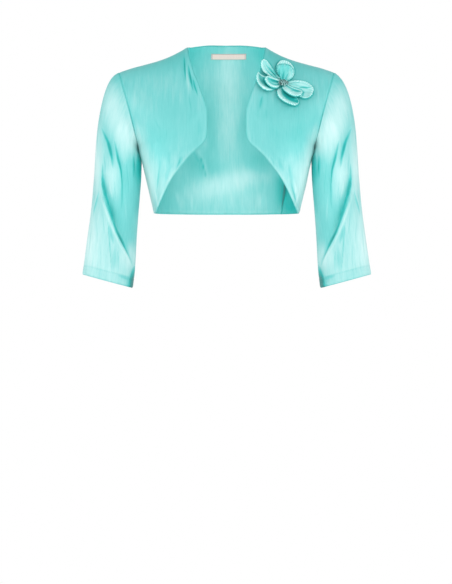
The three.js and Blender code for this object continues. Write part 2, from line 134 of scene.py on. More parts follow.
# How finely the cloth is divided.
ARMHOLE_STEPS = 88
SIDE_STEPS = 70
FRONT_COLUMNS = 116
NECK_COLUMNS = 34
SHOULDER_COLUMNS = 46
CAP_RINGS = 104
ARM_RINGS = 148
HEM_RINGS = 11

# The bunched cloth just below the underarm.
UNDERARM_GATHER = {"z": -197.0, "tall": 10.0, "sleeve": 1.8, "body": 1.2, "reach": 9.0}

# Soft creases, each along a path (x, z) seen from the front. A trough sinks by depth, and one with a minus
# depth is a ridge. Width is the half width at which it has mostly gone.
FRONT_CREASES = table(
    "depth width path",
    (1.6, 4.5, [(-78, -20), (-77, -40), (-76, -58), (-75, -74)]),
    (-1.0, 3.5, [(-73, -34), (-72, -52), (-69, -72), (-66, -92)]),
    (1.5, 3.5, [(-69, -42), (-66, -59), (-62.5, -76)]),
    (1.3, 3.2, [(-61, -62), (-57, -77), (-52.5, -92)]),
    (0.9, 4, [(-50, -138), (-48, -160), (-52, -172)]),
    (1.6, 16, [(-170, -62), (-150, -88), (-138, -120)]),
    (2.2, 20, [(-150, -168), (-120, -178), (-85, -170)]),
    (-1.2, 14, [(-144, -205), (-112, -222), (-92, -216)]),
    (1.2, 3.4, [(-80, -206), (-86, -224)]),
    (0.9, 4, [(-104, -196), (-108, -238)]),
    (1.1, 4.5, [(-120, -206), (-126, -244), (-130, -280)]),
    (0.8, 3.5, [(-98, -214), (-114, -256)]),
    (1.3, 3.5, [(64, -96), (62, -108), (59, -122)]),
    (0.9, 4, [(72, -118), (70, -140)]),
    (1.8, 18, [(152, -78), (140, -110), (136, -146)]),
    (2.4, 20, [(146, -160), (112, -178), (74, -162)]),
    (-1.3, 14, [(140, -206), (108, -218), (80, -204)]),
    (1.3, 4, [(112, -212), (120, -246), (124, -276)]),
    (1.2, 3.2, [(118, -250), (125, -275), (129, -298)]),
    (-1.0, 3, [(124, -250), (129, -276)]),
    (0.9, 3.6, [(92, -206), (104, -236)]),
)
BACK_CREASES = table(
    "depth width path",
    (-3.4, 3.6, [(110, -236), (109, -256), (106, -280), (102, -312)]),
    (-2.2, 5, [(-46, -188), (-42, -206), (-38, -230), (-36, -252)]),
    (-1.4, 4, [(-54, -182), (-50, -204)]),
    (0.6, 9, [(-28, -34), (-26, -48), (-14, -60), (4, -64)]),
    (0.5, 9, [(30, -34), (28, -52), (14, -66), (2, -72)]),
    (-2.0, 18, [(-66, -70), (-62, -120), (-58, -160)]),
    (-2.0, 18, [(64, -80), (60, -130), (58, -170)]),
    (-1.2, 5, [(-96, -262), (-84, -300)]),
    (-1.2, 5, [(-68, -266), (-62, -304)]),
    (-1.0, 6, [(12, -262), (6, -306)]),
    (-1.2, 6, [(66, -262), (56, -306)]),
    (1.8, 14, [(-150, -120), (-118, -150), (-96, -196)]),
    (1.8, 14, [(148, -114), (122, -150), (98, -190)]),
)
# Folds of the wearer's left sleeve, mirrored on the other. The cloth sinks by depth on the path's inner side
# and stands up by ridge on its outer side, and edge is how far it takes to go from one to the other.
SLEEVE_FOLDS = table(
    "face depth ridge width edge path",
    (
        "front", 6.3, 3.0, 12, 2.4,
        [(227.3, -236), (226.8, -253), (224.6, -270), (213, -307), (205, -332), (196.5, -353), (173, -401)],
    ),
    ("front", 3.2, 0.9, 7, 4, [(232, -146), (224.5, -165), (217, -184), (212, -203), (208.5, -224)]),
    ("front", 3.0, 0.8, 7, 4, [(206, -174), (200.5, -198), (195, -222), (191.5, -258), (191.5, -300)]),
    ("front", 2.6, 0.6, 7, 5, [(170, -204), (168.5, -222), (168.5, -246)]),
    ("front", 1.6, 0.8, 4, 3, [(231, -266), (237, -285), (243.5, -310)]),
    ("front", 1.3, 0.5, 5, 4, [(217, -320), (214.5, -346), (212, -381), (210, -413)]),
    ("front", 5, 0, 7, 4, [(172, -402), (175, -416), (182, -438)]),
    ("back", 6.5, 2.6, 16, 3.6, [(232, -236), (222, -280), (206, -322), (186, -362)]),
    ("back", 3.4, 0.8, 9, 6, [(222, -158), (209, -192), (200, -236)]),
    ("back", 2.4, 0.6, 8, 5, [(196, -206), (188, -250), (186, -290)]),
)
# Painted highlights on the satin, or painted shade with a minus light: soft ovals seen from the front,
# turned by degrees.
FRONT_PAINTED_LIGHT = table(
    "light x z wide tall turn",
    (0.42, 106, -254, 60, 44),
    (1.0, 147, -266, 24, 54),
    (0.6, 164, -174, 8, 28),
    (0.9, 154, -230, 12, 64),
    (0.15, 158, -98, 26, 36),
    (-0.45, 112, -12, 66, 34),
    (-0.2, 100, -138, 64, 46),
)
BACK_PAINTED_LIGHT = table(
    "light x z wide tall turn",
    (0.52, 4, -60, 21, 140),
    (0.8, 2, -248, 70, 21, 13),
    (0.15, 34, -224, 26, 20, 12),
    (0.25, 14, -284, 70, 22),
    (0.3, -2, -52, 30, 32),
    (-0.4, 0, 18, 46, 24),
    (-0.45, -58, -206, 34, 20, -25),
    (-0.4, 66, -206, 28, 22, 25),
    (-1.4, 122, -266, 25, 52),
    (-0.4, -122, -262, 24, 44),
    (-0.5, 72, 6, 20, 34),
    (-0.5, -72, 2, 20, 42),
)
SLEEVE_PAINTED_LIGHT = table(
    "light x z wide tall turn",
    (0.76, 201, -128, 26, 62, -20),
    (0.6, 184, -174, 19, 34, -8),
    (0.5, 168, -172, 11, 28),
    (0.5, 165, -177, 7, 20),
    (0.95, 238, -212, 12, 60),
    (0.62, 228, -366, 36, 80, -12),
    (0.4, 254, -330, 16, 110, -6),
    (0.75, 178, -388, 16, 22),
    (0.75, 209, -242, 14, 42),
    (0.3, 196, -424, 34, 26),
    (-0.8, 160, -222, 8, 40),
    (0.45, 262, -400, 18, 50),
    (-0.2, 198, -54, 40, 14),
)
# Strokes of painted shade along paths, in folds, creases, darts and seams and beside edges, or of painted
# highlight along ridges with a plus light. Each fades over its width on the outer side, and over its inner
# width on the other side where it states one.
FRONT_PAINTED_STROKES = table(
    "light width path inner",
    (-0.9, 1.2, [(-83, -206), (-86, -218), (-92, -232)]),
    (-0.4, 1.2, [(-121, -214), (-127, -250), (-131, -280)]),
    (-0.4, 1.2, [(80, -206), (84, -216), (88, -226)]),
    (-0.45, 1.2, [(118, -252), (125, -276), (129, -296)]),
    (-1.8, 1.3, [(-70, -34), (-67.5, -54), (-64, -72), (-60, -90)]),
    (-1.5, 1.3, [(-78, -16), (-76.5, -44), (-74, -70)], 1.2),
    (-1.3, 1.1, [(-62, -58), (-58, -80), (-51, -98)], 1.2),
    (0.25, 1.2, [(-74, -30), (-72, -56), (-69, -80)]),
    (-0.6, 1.0, [(66, -92), (63, -106), (59, -124)], 1.2),
    (-0.35, 1.4, [(-131, -134), (-126, -148), (-119, -160)]),
    (-0.5, 1.0, [(-68, -92), (-66, -112), (-62, -132)]),
    (0.5, 1.6, [(-134, -262), (-129, -284), (-124, -304)]),
    (0.5, 1.6, [(134, -262), (129, -284), (124, -304)]),
)
BACK_PAINTED_STROKES = table(
    "light width path inner",
    (-2.4, 1.6, [(111, -238), (108, -262), (105, -284), (101, -330)], 1.4),
    (-1.2, 5, [(104, -228), (110, -246), (110, -264), (106, -284)], 2.5),
    (-0.5, 5, [(106, -226), (108, -256), (102, -300)], 13),
    (-0.9, 1.2, [(-52, -188), (-47, -206), (-41, -226), (-36, -248)]),
    (-0.4, 2, [(-63, -184), (-57, -198), (-50, -212)]),
    (0.2, 2.5, [(-46, -192), (-41, -210), (-35, -232)]),
    (-0.35, 12, [(-62, -20), (-36, -110), (-31, -176), (-46, -204)], 5),
    (-0.3, 5, [(62, -30), (40, -110), (34, -150), (38, -200)], 10),
)
SLEEVE_PAINTED_STROKES = table(
    "light width path inner",
    (-1.9, 1.0, [(227, -216), (227.2, -243), (226, -257), (223, -273), (214, -299)], 2.4),
    (-1.0, 0.6, [(225.2, -276), (214.3, -307), (204.5, -336)], 7),
    (-1.7, 2.2, [(208, -322), (200.6, -342), (192.3, -357), (184.5, -372), (172.5, -406)], 5.4),
    (-0.25, 3, [(220, -266), (210, -307), (201, -335), (184, -372)], 22),
    (0.45, 2.4, [(232.5, -250), (226, -284), (210.5, -329), (195, -366), (176, -399)], 0.5),
    (0.7, 1.4, [(204, -326), (195, -343), (186.5, -359), (178, -382)], 2.5),
    (-1.7, 1.7, [(230, -150), (217.5, -179), (213.5, -194), (209.8, -209), (208, -228)], 2.8),
    (-1.8, 1.6, [(205.5, -175), (200.6, -199), (197.5, -213), (192.5, -231), (190, -258)], 2.4),
    (-0.8, 1.2, [(191.5, -236), (190.5, -258), (191, -278), (191.5, -308)]),
    (-0.2, 1, [(196, -206), (190, -250), (189, -310)], 12),
    (-1.0, 3.2, [(169.5, -202), (168.8, -215), (168.4, -228), (170, -246)], 1.2),
    (0.6, 1.6, [(165.5, -190), (165, -212), (164, -236)]),
    (-0.15, 3.2, [(161, -190), (159.5, -215), (157, -262)], 5),
    (-0.8, 1.0, [(231, -266), (236.7, -284), (242.6, -302), (244, -316)], 1.3),
    (-0.35, 1.0, [(237, -262), (242, -280), (246, -300)], 1.3),
    (-0.7, 1.0, [(217, -318), (214.5, -346), (212, -381), (210, -414)], 1.2),
    (-0.5, 2.6, [(214.5, -328), (210, -349), (206, -366)]),
    (-0.3, 5, [(202, -366), (204, -395), (210, -418)]),
    (-0.35, 1.0, [(226, -300), (224, -330), (222, -352)]),
    (-0.4, 0.9, [(238, -322), (236, -346), (236, -372)]),
    (-0.35, 0.9, [(248, -330), (250, -362), (253, -394)]),
    (-0.35, 0.9, [(230, -356), (229, -384), (230, -418)]),
    (-0.4, 0.9, [(199, -372), (197, -396), (199, -420)]),
    (-0.35, 0.9, [(243, -376), (244, -400), (247, -420)]),
    (-0.4, 0.9, [(238, -150), (236, -182), (237, -214)]),
    (-0.35, 0.9, [(225, -196), (222, -222), (222, -246)]),
    (-0.35, 0.9, [(183, -214), (180, -244), (179, -280)]),
    (-0.3, 0.9, [(206, -240), (204, -266), (201, -292)]),
    (0.4, 1.0, [(216, -236), (213, -262), (208, -288)]),
    (0.35, 1.0, [(186, -266), (184, -298), (182, -330)]),
    (-2.6, 6, [(168, -404), (171, -428), (176, -452), (181, -480)], 4),
    (-0.5, 3, [(200, -421), (187, -426), (172, -431)]),
)
# How far from a seam the crinkles, creases, folds and turned edges have come up to their full height.
SEAM_CALM = {"crinkle": 14, "crease": 8, "fold": 30, "edge": 5, "easing": 3, "label": 14}
# Painted light from the relief: how much paler a ridge is painted as a highlight, and a trough deeper as
# shade, for each millimetre of its height, and the most that it changes the tone.
RELIEF_PAINTED_LIGHT = {"crinkle": 0.1, "fold": 0.05, "crease": 0.28, "deepest": -0.5, "palest": 0.35}
# The profile of a sleeve's fold: where its crest and trough lie, in widths, and how they fall away.
FOLD_SHAPE = {"crest": 0.1, "trough": -0.2, "falloff": 1.5, "step": 0.3, "round": 1.6, "fade": 0.8}
# The satin's crush, streaks and threads: their sizes across and along the grain, and their detail.
SATIN_GRAIN = {"crush": (9, 42, 3.0), "streak": (2.4, 34, 3.0), "thread": (0.5, 9, 1.0)}
# Random crinkles of the cloth: the size of one across and along the grain, and its height. Each panel has a
# seed of its own.
CRINKLES = table(
    "across along height seed",
    (46, 130, 1.1, 3),
    (17, 80, 0.55, 5),
    (8, 55, 0.22, 8),
)
CRINKLE_START = {"across": 31, "along": 17, "down": 400}
SEEDS = {"front_left": 10, "front_right": 20, "back": 40, "sleeve_left": 60, "sleeve_right": 70}
# How far the hem's stitches stand off the cloth, in millimetres.
STITCH_LIFT = 0.12

# The flower on the wearer's left front. Each petal's left and right sides, seen from its root, run to the
# tip, in millimetres from the flower's middle as seen from the front. Its sides and tip stand up by heights
# of their own, and it is gathered into pleats at its root, with painted shade and highlight on the pleats. A
# tone's floor above 0 is painted paler than the satin as a highlight, one below 0 is painted deeper as
# shade, and each side has a painted highlight along its rim, of its own width.
FLOWER = {"x": 103.0, "z": -71.5, "size": 0.982, "follow": 0.8, "steps": 60, "painted_highlight": 0.9}
PETALS = table(
    "name left right height pleats tone",
    (
        "outer_low",
        [(-3, -4), (-20, -15), (-33, -15), (-43, -8), (-49, 2), (-50, 11), (-45.5, 19)],
        [(-3, 2), (-14, 6), (-26, 10), (-36, 13), (-41, 15.5), (-44, 17.5), (-45.5, 19)],
        (1, 3, 8, 2.5, 4, 6.5), (2, 0.5, 0.1), (-0.5, 8.5, 3, 5),
    ),
    (
        "outer_bottom",
        [(3, -3), (10, -10), (17, -17), (23, -24), (28, -31), (29.5, -37), (26.5, -42)],
        [(-5, -5), (-11.5, -15), (-9.5, -26), (-1, -34.5), (8.5, -39.5), (18.5, -43), (26.5, -42)],
        (1, 2, 1.5, 7, 3, 8), (2, 0.4, 0.1), (-1.0, 1.5, 9.5, 3.5),
    ),
    (
        "outer_side",
        [(4, 3), (14, 4.5), (26, 6), (38, 5), (49, 0), (56.5, -9), (56, -18)],
        [(4, -3), (14, -12), (26, -22), (36, -28), (44, -28.5), (51, -25), (56, -18)],
        (1.5, 6, 2, 1.5, 2, 5), (4, 1.2, 0.25), (0.6, 4.5, 3, 4),
    ),
    (
        "outer_top",
        [(-4, 4), (-9, 14), (-13, 24), (-12.5, 32), (-9.5, 39), (-4.5, 44), (2, 46)],
        [(5, 3), (16.5, 9), (21.5, 18), (22, 27), (18.5, 36), (11.5, 43), (2, 46)],
        (1, 2.5, 1, 1, 1.5, 5), (3, 0.5, 0.1), (0.1, 5.5, 6, 10.5),
    ),
    (
        "outer_leaf",
        [(-2, 1), (-15, 7), (-28, 14.5), (-38, 22.5), (-41.5, 31), (-41, 39.5), (-35.5, 45)],
        [(0, 4), (-8, 13), (-14, 21), (-19.5, 29), (-24.5, 36), (-29.5, 42), (-35.5, 45)],
        (2.5, 8, 3, 1, 2.5, 3.5), (5, 1.5, 0.4), (0.5, 4.5, 2, 4),
    ),
    (
        "inner_top",
        [(-3, 3), (-7, 12), (-10.5, 21), (-11.5, 27.5), (-9.5, 32), (-4.5, 34.5), (3, 35)],
        [(4, 3), (12, 6), (17.5, 12), (19.5, 20), (18, 27), (12.5, 32.5), (3, 35)],
        (5, 9, 1.5, 1.5, 2, 4), (3, 1.2, 0.12), (0.05, 1.2, 1.6, 1),
    ),
    (
        "inner_low",
        [(-3, -4), (-11, -10.5), (-19, -10.5), (-25.5, -7.5), (-31, -2), (-34, 4), (-32, 9.5)],
        [(-3, 3), (-9, 7), (-15, 9), (-20, 10.5), (-25, 11.5), (-29.5, 11.5), (-32, 9.5)],
        (4, 6, 6, 4, 5, 4), (3, 1.1, 0.5), (-0.35, 6.5, 3.8, 5),
    ),
    (
        "inner_side",
        [(3, 1), (10, -4), (17, -8), (23.5, -10.5), (30, -12.5), (34.5, -15.5), (35.5, -19.5)],
        [(-2, -4), (-1.5, -11), (5, -18), (13, -23.5), (22, -26.5), (31, -25.5), (35.5, -19.5)],
        (5, 7, 1.5, 7.5, 5, 6), (2, 0.7, 0.1), (-0.9, 3, 10, 5),
    ),
)
# Strokes of painted shade on the petals, where one lies over another and in pleats, or of painted highlight.
PETAL_PAINTED_STROKES = table(
    "petal light width path inner",
    (
        "outer_top", -2.2, 1.5,
        [(-13, 24), (-10.5, 33), (-4.5, 36.2), (4, 36.8), (13.5, 34.2), (20, 27.5), (21.5, 17)],
    ),
    ("outer_leaf", -2.2, 1.1, [(-8, 6), (-18, 18), (-31, 34)]),
    ("outer_leaf", -1.5, 0.9, [(-11, 7), (-24, 16), (-34, 27)]),
    ("outer_leaf", -1.6, 0.9, [(-6, 8), (-14, 19), (-26, 36)]),
    ("outer_side", -1.7, 1.3, [(28, -9), (36, -7.5), (44, -8.5), (53, -8)]),
    ("outer_side", -1.6, 1.4, [(12, -6), (24, -9.5), (33, -12.5), (38, -18), (36, -25), (32, -29)]),
    ("outer_side", -0.6, 1.2, [(12, 0), (24, 1), (34, 0.5)]),
    ("inner_top", -1.3, 2.6, [(-4, 4), (-7, 14), (-5.5, 29)], 1.2),
    ("inner_top", -1.2, 2.0, [(-1, 4), (0, 12), (3, 24)], 1.2),
    ("inner_top", -0.8, 1.6, [(3, 4), (6, 11), (10, 19)], 1.2),
    ("inner_top", 0.5, 4, [(4, 6), (13, 14), (12, 28)]),
    (
        "outer_low", -1.9, 1.8,
        [(-6, -10), (-12, -12.5), (-20, -12.5), (-27.5, -9), (-33.5, -2.5), (-36.5, 4.5), (-34, 12)],
    ),
    ("inner_low", -1.1, 1.5, [(-9, 1), (-18, 3), (-27, 5)]),
    ("inner_low", 0.7, 1.2, [(-8, -2), (-17, -2), (-26, 1)]),
    ("inner_side", 0.8, 1.2, [(7, -8), (14, -12), (20, -14)]),
    ("outer_bottom", -1.6, 1.8, [(-3, -10), (3.5, -19.5), (12, -25.5), (22, -28.5), (31, -28)]),
    ("outer_bottom", 0.9, 2.2, [(20, -30), (23, -32), (26, -31)]),
)
PETAL_PARTS = {
    "height": ("base", "lift", "left", "right", "tip", "flank"),
    "pleats": ("count", "height", "tone"),
    "tone": ("floor", "left", "right", "tip"),
}
PETAL_TIP = 0.985
# The fine ticks along a petal's rims, with painted shade and highlight on them, and a line of painted shade
# at its very edge.
RIM_TICKS = {"apart": 3.4, "height": 0.22, "tone": 0.5}
RIM_LINE = {"tone": 1.8, "width": 0.5}
# The petals' painted shadow on the cloth beside them.
PETAL_SHADE = {"light": -1.35, "width": 2.2}

# Painted shade and relief by the distance to a seam or a turned edge: the amount, width and middle of each
# soft band. A turned edge's tone also has a painted highlight on the welt behind it.
SEAM_PAINTED_SHADE = [(-0.55, 1.8, 0)]
EDGE_PAINTED_LIGHT = [(-0.5, 1.3, 0), (0.14, 3, 4.5)]
SEAM_RELIEF = [(0.55, 1.7, 3)]
EDGE_RELIEF = [(-0.7, 1.8, 0), (0.25, 3, 5)]
# Seams show less and less below the first height, down to the least share at the second.
SEAM_SHOWS = {"from": -150, "to": -190, "least": 0.2}
# The cuff's hem: the line that it is sewn on by is pulled in, with painted shade along it, and its doubled
# cloth is painted a little deeper.
HEM_PAINTED_SHADE = [(-0.16, 1.0, 0)]
HEM_RELIEF = [(-0.35, 1.1, 0)]
HEM_DEEPER = 0.12
# The sleeve's fullness eased into the top of the armhole: its height, one wave's length and its reach.
EASING = {"height": 0.3, "wave": 9, "reach": 9}
BEAD_RING = {"long": 8.4, "short": 4.6, "seat": 9.5, "seed": 4}

# The label: its place and size, its cloth, its gap to the back, its grid, and how far in its end seams lie.
LABEL = {
    "x": 4.0,
    "z": -10.4,
    "width": 66.0,
    "height": 9.8,
    "cloth": 0.7,
    "off": 0.15,
    "columns": 133,
    "rows": 33,
    "seam": 2.2,
    "lift": 0.1,
}
LABEL_STITCHES = {"right": 5, "left": -6}

# Soft boxes round the jacket, in metres and degrees. Azimuth 0 is in front and 90 on the wearer's left, and
# a brightness of 1 is that of white ground. Each faces the point that its row gives, or else the lit point.
LIT_POINT = (0.0, 0.0, -0.2)
SOFT_BOXES = table(
    "name azimuth elevation distance width height brightness at",
    ("front_box", 0, 4, 4.7, 4.2, 3.0, 0.815),
    ("left_front", 40, 4, 3.6, 2.2, 2.6, 0.87),
    ("right_front", -40, 4, 3.6, 2.2, 2.6, 0.87),
    ("high_box", 0, 42, 3.0, 2.0, 0.8, 0.5),
    ("low_left", 36, -34, 1.9, 1.5, 0.7, 1.03),
    ("low_right", -36, -34, 1.9, 1.5, 0.7, 1.03),
    ("left_box", 80, 20, 2.6, 1.5, 1.5, 1.6),
    ("right_box", -80, 20, 2.6, 1.5, 1.5, 1.6),
    ("left_rim", 130, -10, 3, 1.2, 1.6, 1.0),
    ("right_rim", -130, -10, 3, 1.2, 1.6, 1.0),
    ("back_box", 180, 8, 3, 2, 2, 0.7),
    ("inner_fill", 0, 0, 0.05, 0.09, 0.22, 1.48, (0, 0, -0.135)),
    ("left_gap", 0, 0, 0.11, 0.04, 0.12, 0.55, (0.153, 0, -0.24)),
    ("right_gap", 0, 0, 0.11, 0.04, 0.12, 0.55, (-0.153, 0, -0.24)),
)

# The photograph's camera: square on to the jacket and level with the middle of the frame.
CAMERA = {"place": (-0.001, -4.0, -0.4525), "frame_height": 1.0804, "sensor": 36.0}


def length(name, description, default, **limits):
    """A size in metres."""
    return FloatProperty(name=name, description=description, default=default, unit="LENGTH", **limits)


def factor(name, description, default, **limits):
    """A strength or share."""
    return FloatProperty(name=name, description=description, default=default, subtype="FACTOR", **limits)


def colour(name, description, *default):
    """An opaque colour."""
    shown = {"name": name, "description": description, "subtype": "COLOR"}
    return FloatVectorProperty(size=4, default=(*default, 1), **shown)


class BoleroCloth(bpy.types.PropertyGroup):
    """Sizes of the jacket's cloth and sewing"""

    cloth: length("Cloth", "Thickness of one layer", 0.0011, min=0.0004)
    hem_extra: length("Turned hem", "Second layer inside the cuff", 0.0007)
    hem_depth: length("Hem depth", "Depth of the cuff's hem", 0.018)
    folds: factor("Folds", "Strength of the folds", 1.0, max=2)
    crinkle: factor("Crinkle", "Strength of the random crinkles", 1.0, max=2)
    stitch: length("Stitch", "Length of one hem stitch", 0.0019)
    stitch_step: length("Stitch step", "Distance between two stitches", 0.003)


class BoleroFlower(bpy.types.PropertyGroup):
    """Sizes of the flower's petals and beads"""

    petal_cloth: length("Petal cloth", "Thickness of a petal", 0.001, min=0.0004)
    roll: length("Roll", "Radius of a petal's rolled rim", 0.0028)
    bead: length("Bead", "Radius of one bead", 0.0024)
    beads: IntProperty(name="Beads", description="Beads in the outer ring", default=10, min=3)


class BoleroFinish(bpy.types.PropertyGroup):
    """Colours and gloss of the jacket"""

    satin: colour("Satin", "Colour of the cloth", 0.15, 0.595, 0.58)
    # The colours of painted shade, in folds, creases and hollows, and of painted highlight on the satin.
    painted_shade: colour("Deep satin", "Colour in the folds", 0.0, 0.47, 0.44)
    painted_highlight: colour("Pale satin", "Colour where it has most sheen", 0.675, 0.888, 0.873)
    petal: colour("Petals", "Colour of the petals", 0.11, 0.63, 0.6)
    # The colour of the painted highlight along the petals' rims.
    petal_painted_highlight: colour("Pale petals", "Colour of the petals' rims", 0.71, 1.0, 0.97)
    label: colour("Label", "Colour of the label", 0.9, 0.72, 0.655)
    bead: colour("Beads", "Colour of the beads", 0.07, 0.125, 0.12)
    gloss: factor("Roughness", "Roughness of the satin", 0.45, min=0.1, max=1)


def curve_through(rows, start, end):
    """A smooth curve through a table's rows, from one column to another."""
    at, values = np.array(sorted((row[start], row[end]) for row in rows), dtype=float).T
    before = np.maximum(np.arange(len(at)) - 1, 0)
    after = np.minimum(np.arange(len(at)) + 1, len(at) - 1)
    slope = (values[after] - values[before]) / (at[after] - at[before])

    def curve(t):
        place = np.clip(np.asarray(t, dtype=float), at[0], at[-1])
        i = np.clip(np.searchsorted(at, place) - 1, 0, len(at) - 2)
        span = at[i + 1] - at[i]
        h00, h10, h01, h11 = hermite((place - at[i]) / span)
        return h00 * values[i] + h10 * span * slope[i] + h01 * values[i + 1] + h11 * span * slope[i + 1]

    return curve


def hermite(t):
    """Weights of a cubic's start, start direction, end and end direction."""
    return 2 * t**3 - 3 * t**2 + 1, t**3 - 2 * t**2 + t, 3 * t**2 - 2 * t**3, t**3 - t**2


def smoothstep(value, low, high):
    """0 below low, 1 above high, and a soft step between."""
    t = np.clip((value - low) / (high - low), 0, 1)
    return t * t * (3 - 2 * t)


def bell(away, width, middle=0.0):
    """1 at the middle, falling softly to nothing past a width."""
    return np.exp(-(((away - middle) / width) ** 2))


def bands(away, profile):
    """The sum of soft bands by the distance from something."""
    return sum(amount * bell(away, width, middle) for amount, width, middle in profile)


top_line = curve_through(TOP_LINE, "x", "z")
front_edge = curve_through(FRONT_EDGE, "z", "x")
torso_depth = {side: curve_through(TORSO_DEPTHS, "z", side) for side in ("front", "back")}
arm_section = {name: curve_through(ARM_SECTIONS, "z", name) for name in ("x", "y", "width", "depth", "tilt")}


def up_armhole(z):
    """The share of the way from the underarm up to the shoulder tip."""
    return np.clip((z - UNDERARM[1]) / (SHOULDER_TIP[1] - UNDERARM[1]), 0, 1)


def armhole_x(z):
    """Where the armhole seam lies, seen from the front."""
    up = up_armhole(z)
    return UNDERARM[0] + (SHOULDER_TIP[0] - UNDERARM[0]) * up - ARMHOLE_HOLLOW * np.sin(np.pi * up)


def half_width(z):
    """Half the width of the form's section, which runs on past the armhole."""
    up = up_armhole(z)
    down = np.clip((UNDERARM[1] - z) / (UNDERARM[1] - HEM[1]), 0, 1)
    side_seam = UNDERARM[0] + (HEM[0] - UNDERARM[0]) * down
    eased = up**2 / (up + ARMHOLE_FLARE["ease"])
    flared = armhole_x(z) + ARMHOLE_FLARE["width"] * eased ** ARMHOLE_FLARE["power"]
    return np.where(z > UNDERARM[1], flared, side_seam)


def on_form(side, x, z):
    """Points of the form's front or back, in millimetres."""
    x, z = np.broadcast_arrays(np.asarray(x, dtype=float), np.asarray(z, dtype=float))
    drop = np.clip((top_line(np.abs(x)) - z) / CROWN[side], 0, 1)
    crown = np.sqrt(1 - (1 - drop) ** CROWN_POWER)
    across = np.clip(np.abs(x) / half_width(z), 0, 1)
    oval = (1 - across**OVAL_POWER) ** (1 / OVAL_POWER)
    return np.stack([x, FACING[side] * torso_depth[side](z) * crown * oval, z], axis=-1)


def panel_rows():
    """Where the torso's rows meet the armhole or side seam, and each row's share of the shoulder's slope."""
    turn = np.linspace(0, np.pi, ARMHOLE_STEPS + 1)
    middle, half = (SHOULDER_TIP[1] + UNDERARM[1]) / 2, (SHOULDER_TIP[1] - UNDERARM[1]) / 2
    arm_z = middle + half * np.cos(turn)
    side_z = np.linspace(UNDERARM[1], HEM[1], SIDE_STEPS + 1)[1:]
    z = np.concatenate([arm_z, side_z])
    x = np.concatenate([armhole_x(arm_z), half_width(side_z)])
    slope = np.concatenate([np.cos(turn / 2) ** 2, np.zeros(SIDE_STEPS)])
    return z, x, slope


def around_oval(start, end, width, share):
    """Places across a section, evenly spread round its oval."""
    low, high = (np.arcsin(np.clip(x / width, 0, 1) ** (OVAL_POWER / 2)) for x in (start, end))
    places = width * np.sin(low + (high - low) * share) ** (2 / OVAL_POWER)
    return np.where(share == 1, end, places)


def front_grid():
    """The wearer's left front. Each row runs from the front edge to the armhole or side seam."""
    rows = []
    for z, x_end, slope in zip(*panel_rows()):

        def rise(x):
            return (top_line(x * SHOULDER_TIP[0] / x_end) - SHOULDER_TIP[1]) * slope

        inner = front_edge(z)
        for _ in range(14):
            inner = front_edge(z + rise(inner))
        x = around_oval(inner, x_end, max(half_width(z), x_end), np.linspace(0, 1, FRONT_COLUMNS + 1))
        rows.append(on_form("front", x, z + rise(x)))
    return np.array(rows)


def back_grid():
    """The back, from the wearer's right to the left. Its top row is the shoulder seams and the neckline."""
    spread = np.linspace(0, 1, NECK_COLUMNS + 1)
    neck = NECK_HALF * (0.6 * spread + 0.4 * np.sin(np.pi / 2 * spread))
    shoulder = np.linspace(NECK_HALF, SHOULDER_TIP[0], SHOULDER_COLUMNS + 1)[1:]
    half = np.concatenate([neck, shoulder])
    column = np.concatenate([-half[:0:-1], half])
    size = np.abs(column)
    neckline = BACK_NECK_RISE * (1 - (size / NECK_HALF) ** BACK_NECK_POWER)
    edge = np.where(size < NECK_HALF, neckline, top_line(size))
    share = size / SHOULDER_TIP[0]
    rows = []
    for z, x_end, slope in zip(*panel_rows()):
        spread = around_oval(0, x_end, max(half_width(z), x_end), share)
        x = spread + (share * x_end - spread) * slope
        rows.append(on_form("back", np.sign(column) * x, z + (edge - SHOULDER_TIP[1]) * slope))
    return np.array(rows)


def armhole_ring():
    """The left armhole from the underarm up the back, over the shoulder tip and down the front."""
    z, x, _ = (values[: ARMHOLE_STEPS + 1] for values in panel_rows())
    front, back = on_form("front", x, z), on_form("back", x, z)
    return np.concatenate([back[::-1], front[1:-1]])


def arm_point(z, turn):
    """A point round the arm at a height, with turn 0 on its outer side and a quarter turn on its front."""
    across = arm_section["width"](z) * np.cos(turn)
    tilt = np.radians(arm_section["tilt"](z))
    x = arm_section["x"](z) + across * np.cos(tilt)
    y = arm_section["y"](z) - arm_section["depth"](z) * np.sin(turn)
    return np.stack([x, y, z + across * np.sin(tilt)], axis=-1)


def cap_direction(table, turn):
    """The sleeve's direction round the armhole, mixed from those at its top, side and underside."""
    up = np.cos(turn)[:, None]
    along = np.where(up > 0, np.array(table["top"], float), np.array(table["under"], float)) * up**2
    sideways = np.array(table["front"], float) * (1 - up**2)
    sideways[:, 1] *= np.sign(np.sin(turn))
    return along + sideways


def sleeve_grid(hem_depth):
    """The wearer's left sleeve in rings from the armhole to the cuff, and the rings' turns."""
    armhole = armhole_ring()
    turn = np.linspace(-np.pi, np.pi, len(armhole) + 1)[:-1]
    top, cuff = ARM_SECTIONS[0]["z"], ARM_SECTIONS[-1]["z"]
    upper = arm_point(np.full_like(turn, top), turn)
    rings = []
    for k in range(CAP_RINGS):
        h00, h10, h01, h11 = hermite(k / CAP_RINGS)
        start, end = cap_direction(CAP_START, turn), cap_direction(CAP_END, turn)
        rings.append(armhole * h00 + start * h10 + upper * h01 + end * h11)
    hem_line = cuff + hem_depth
    arm, hem = np.linspace(top, hem_line, ARM_RINGS + 1), np.linspace(hem_line, cuff, HEM_RINGS + 1)[1:]
    rings += [arm_point(np.full_like(turn, z), turn) for z in (*arm, *hem)]
    return np.array(rings), turn


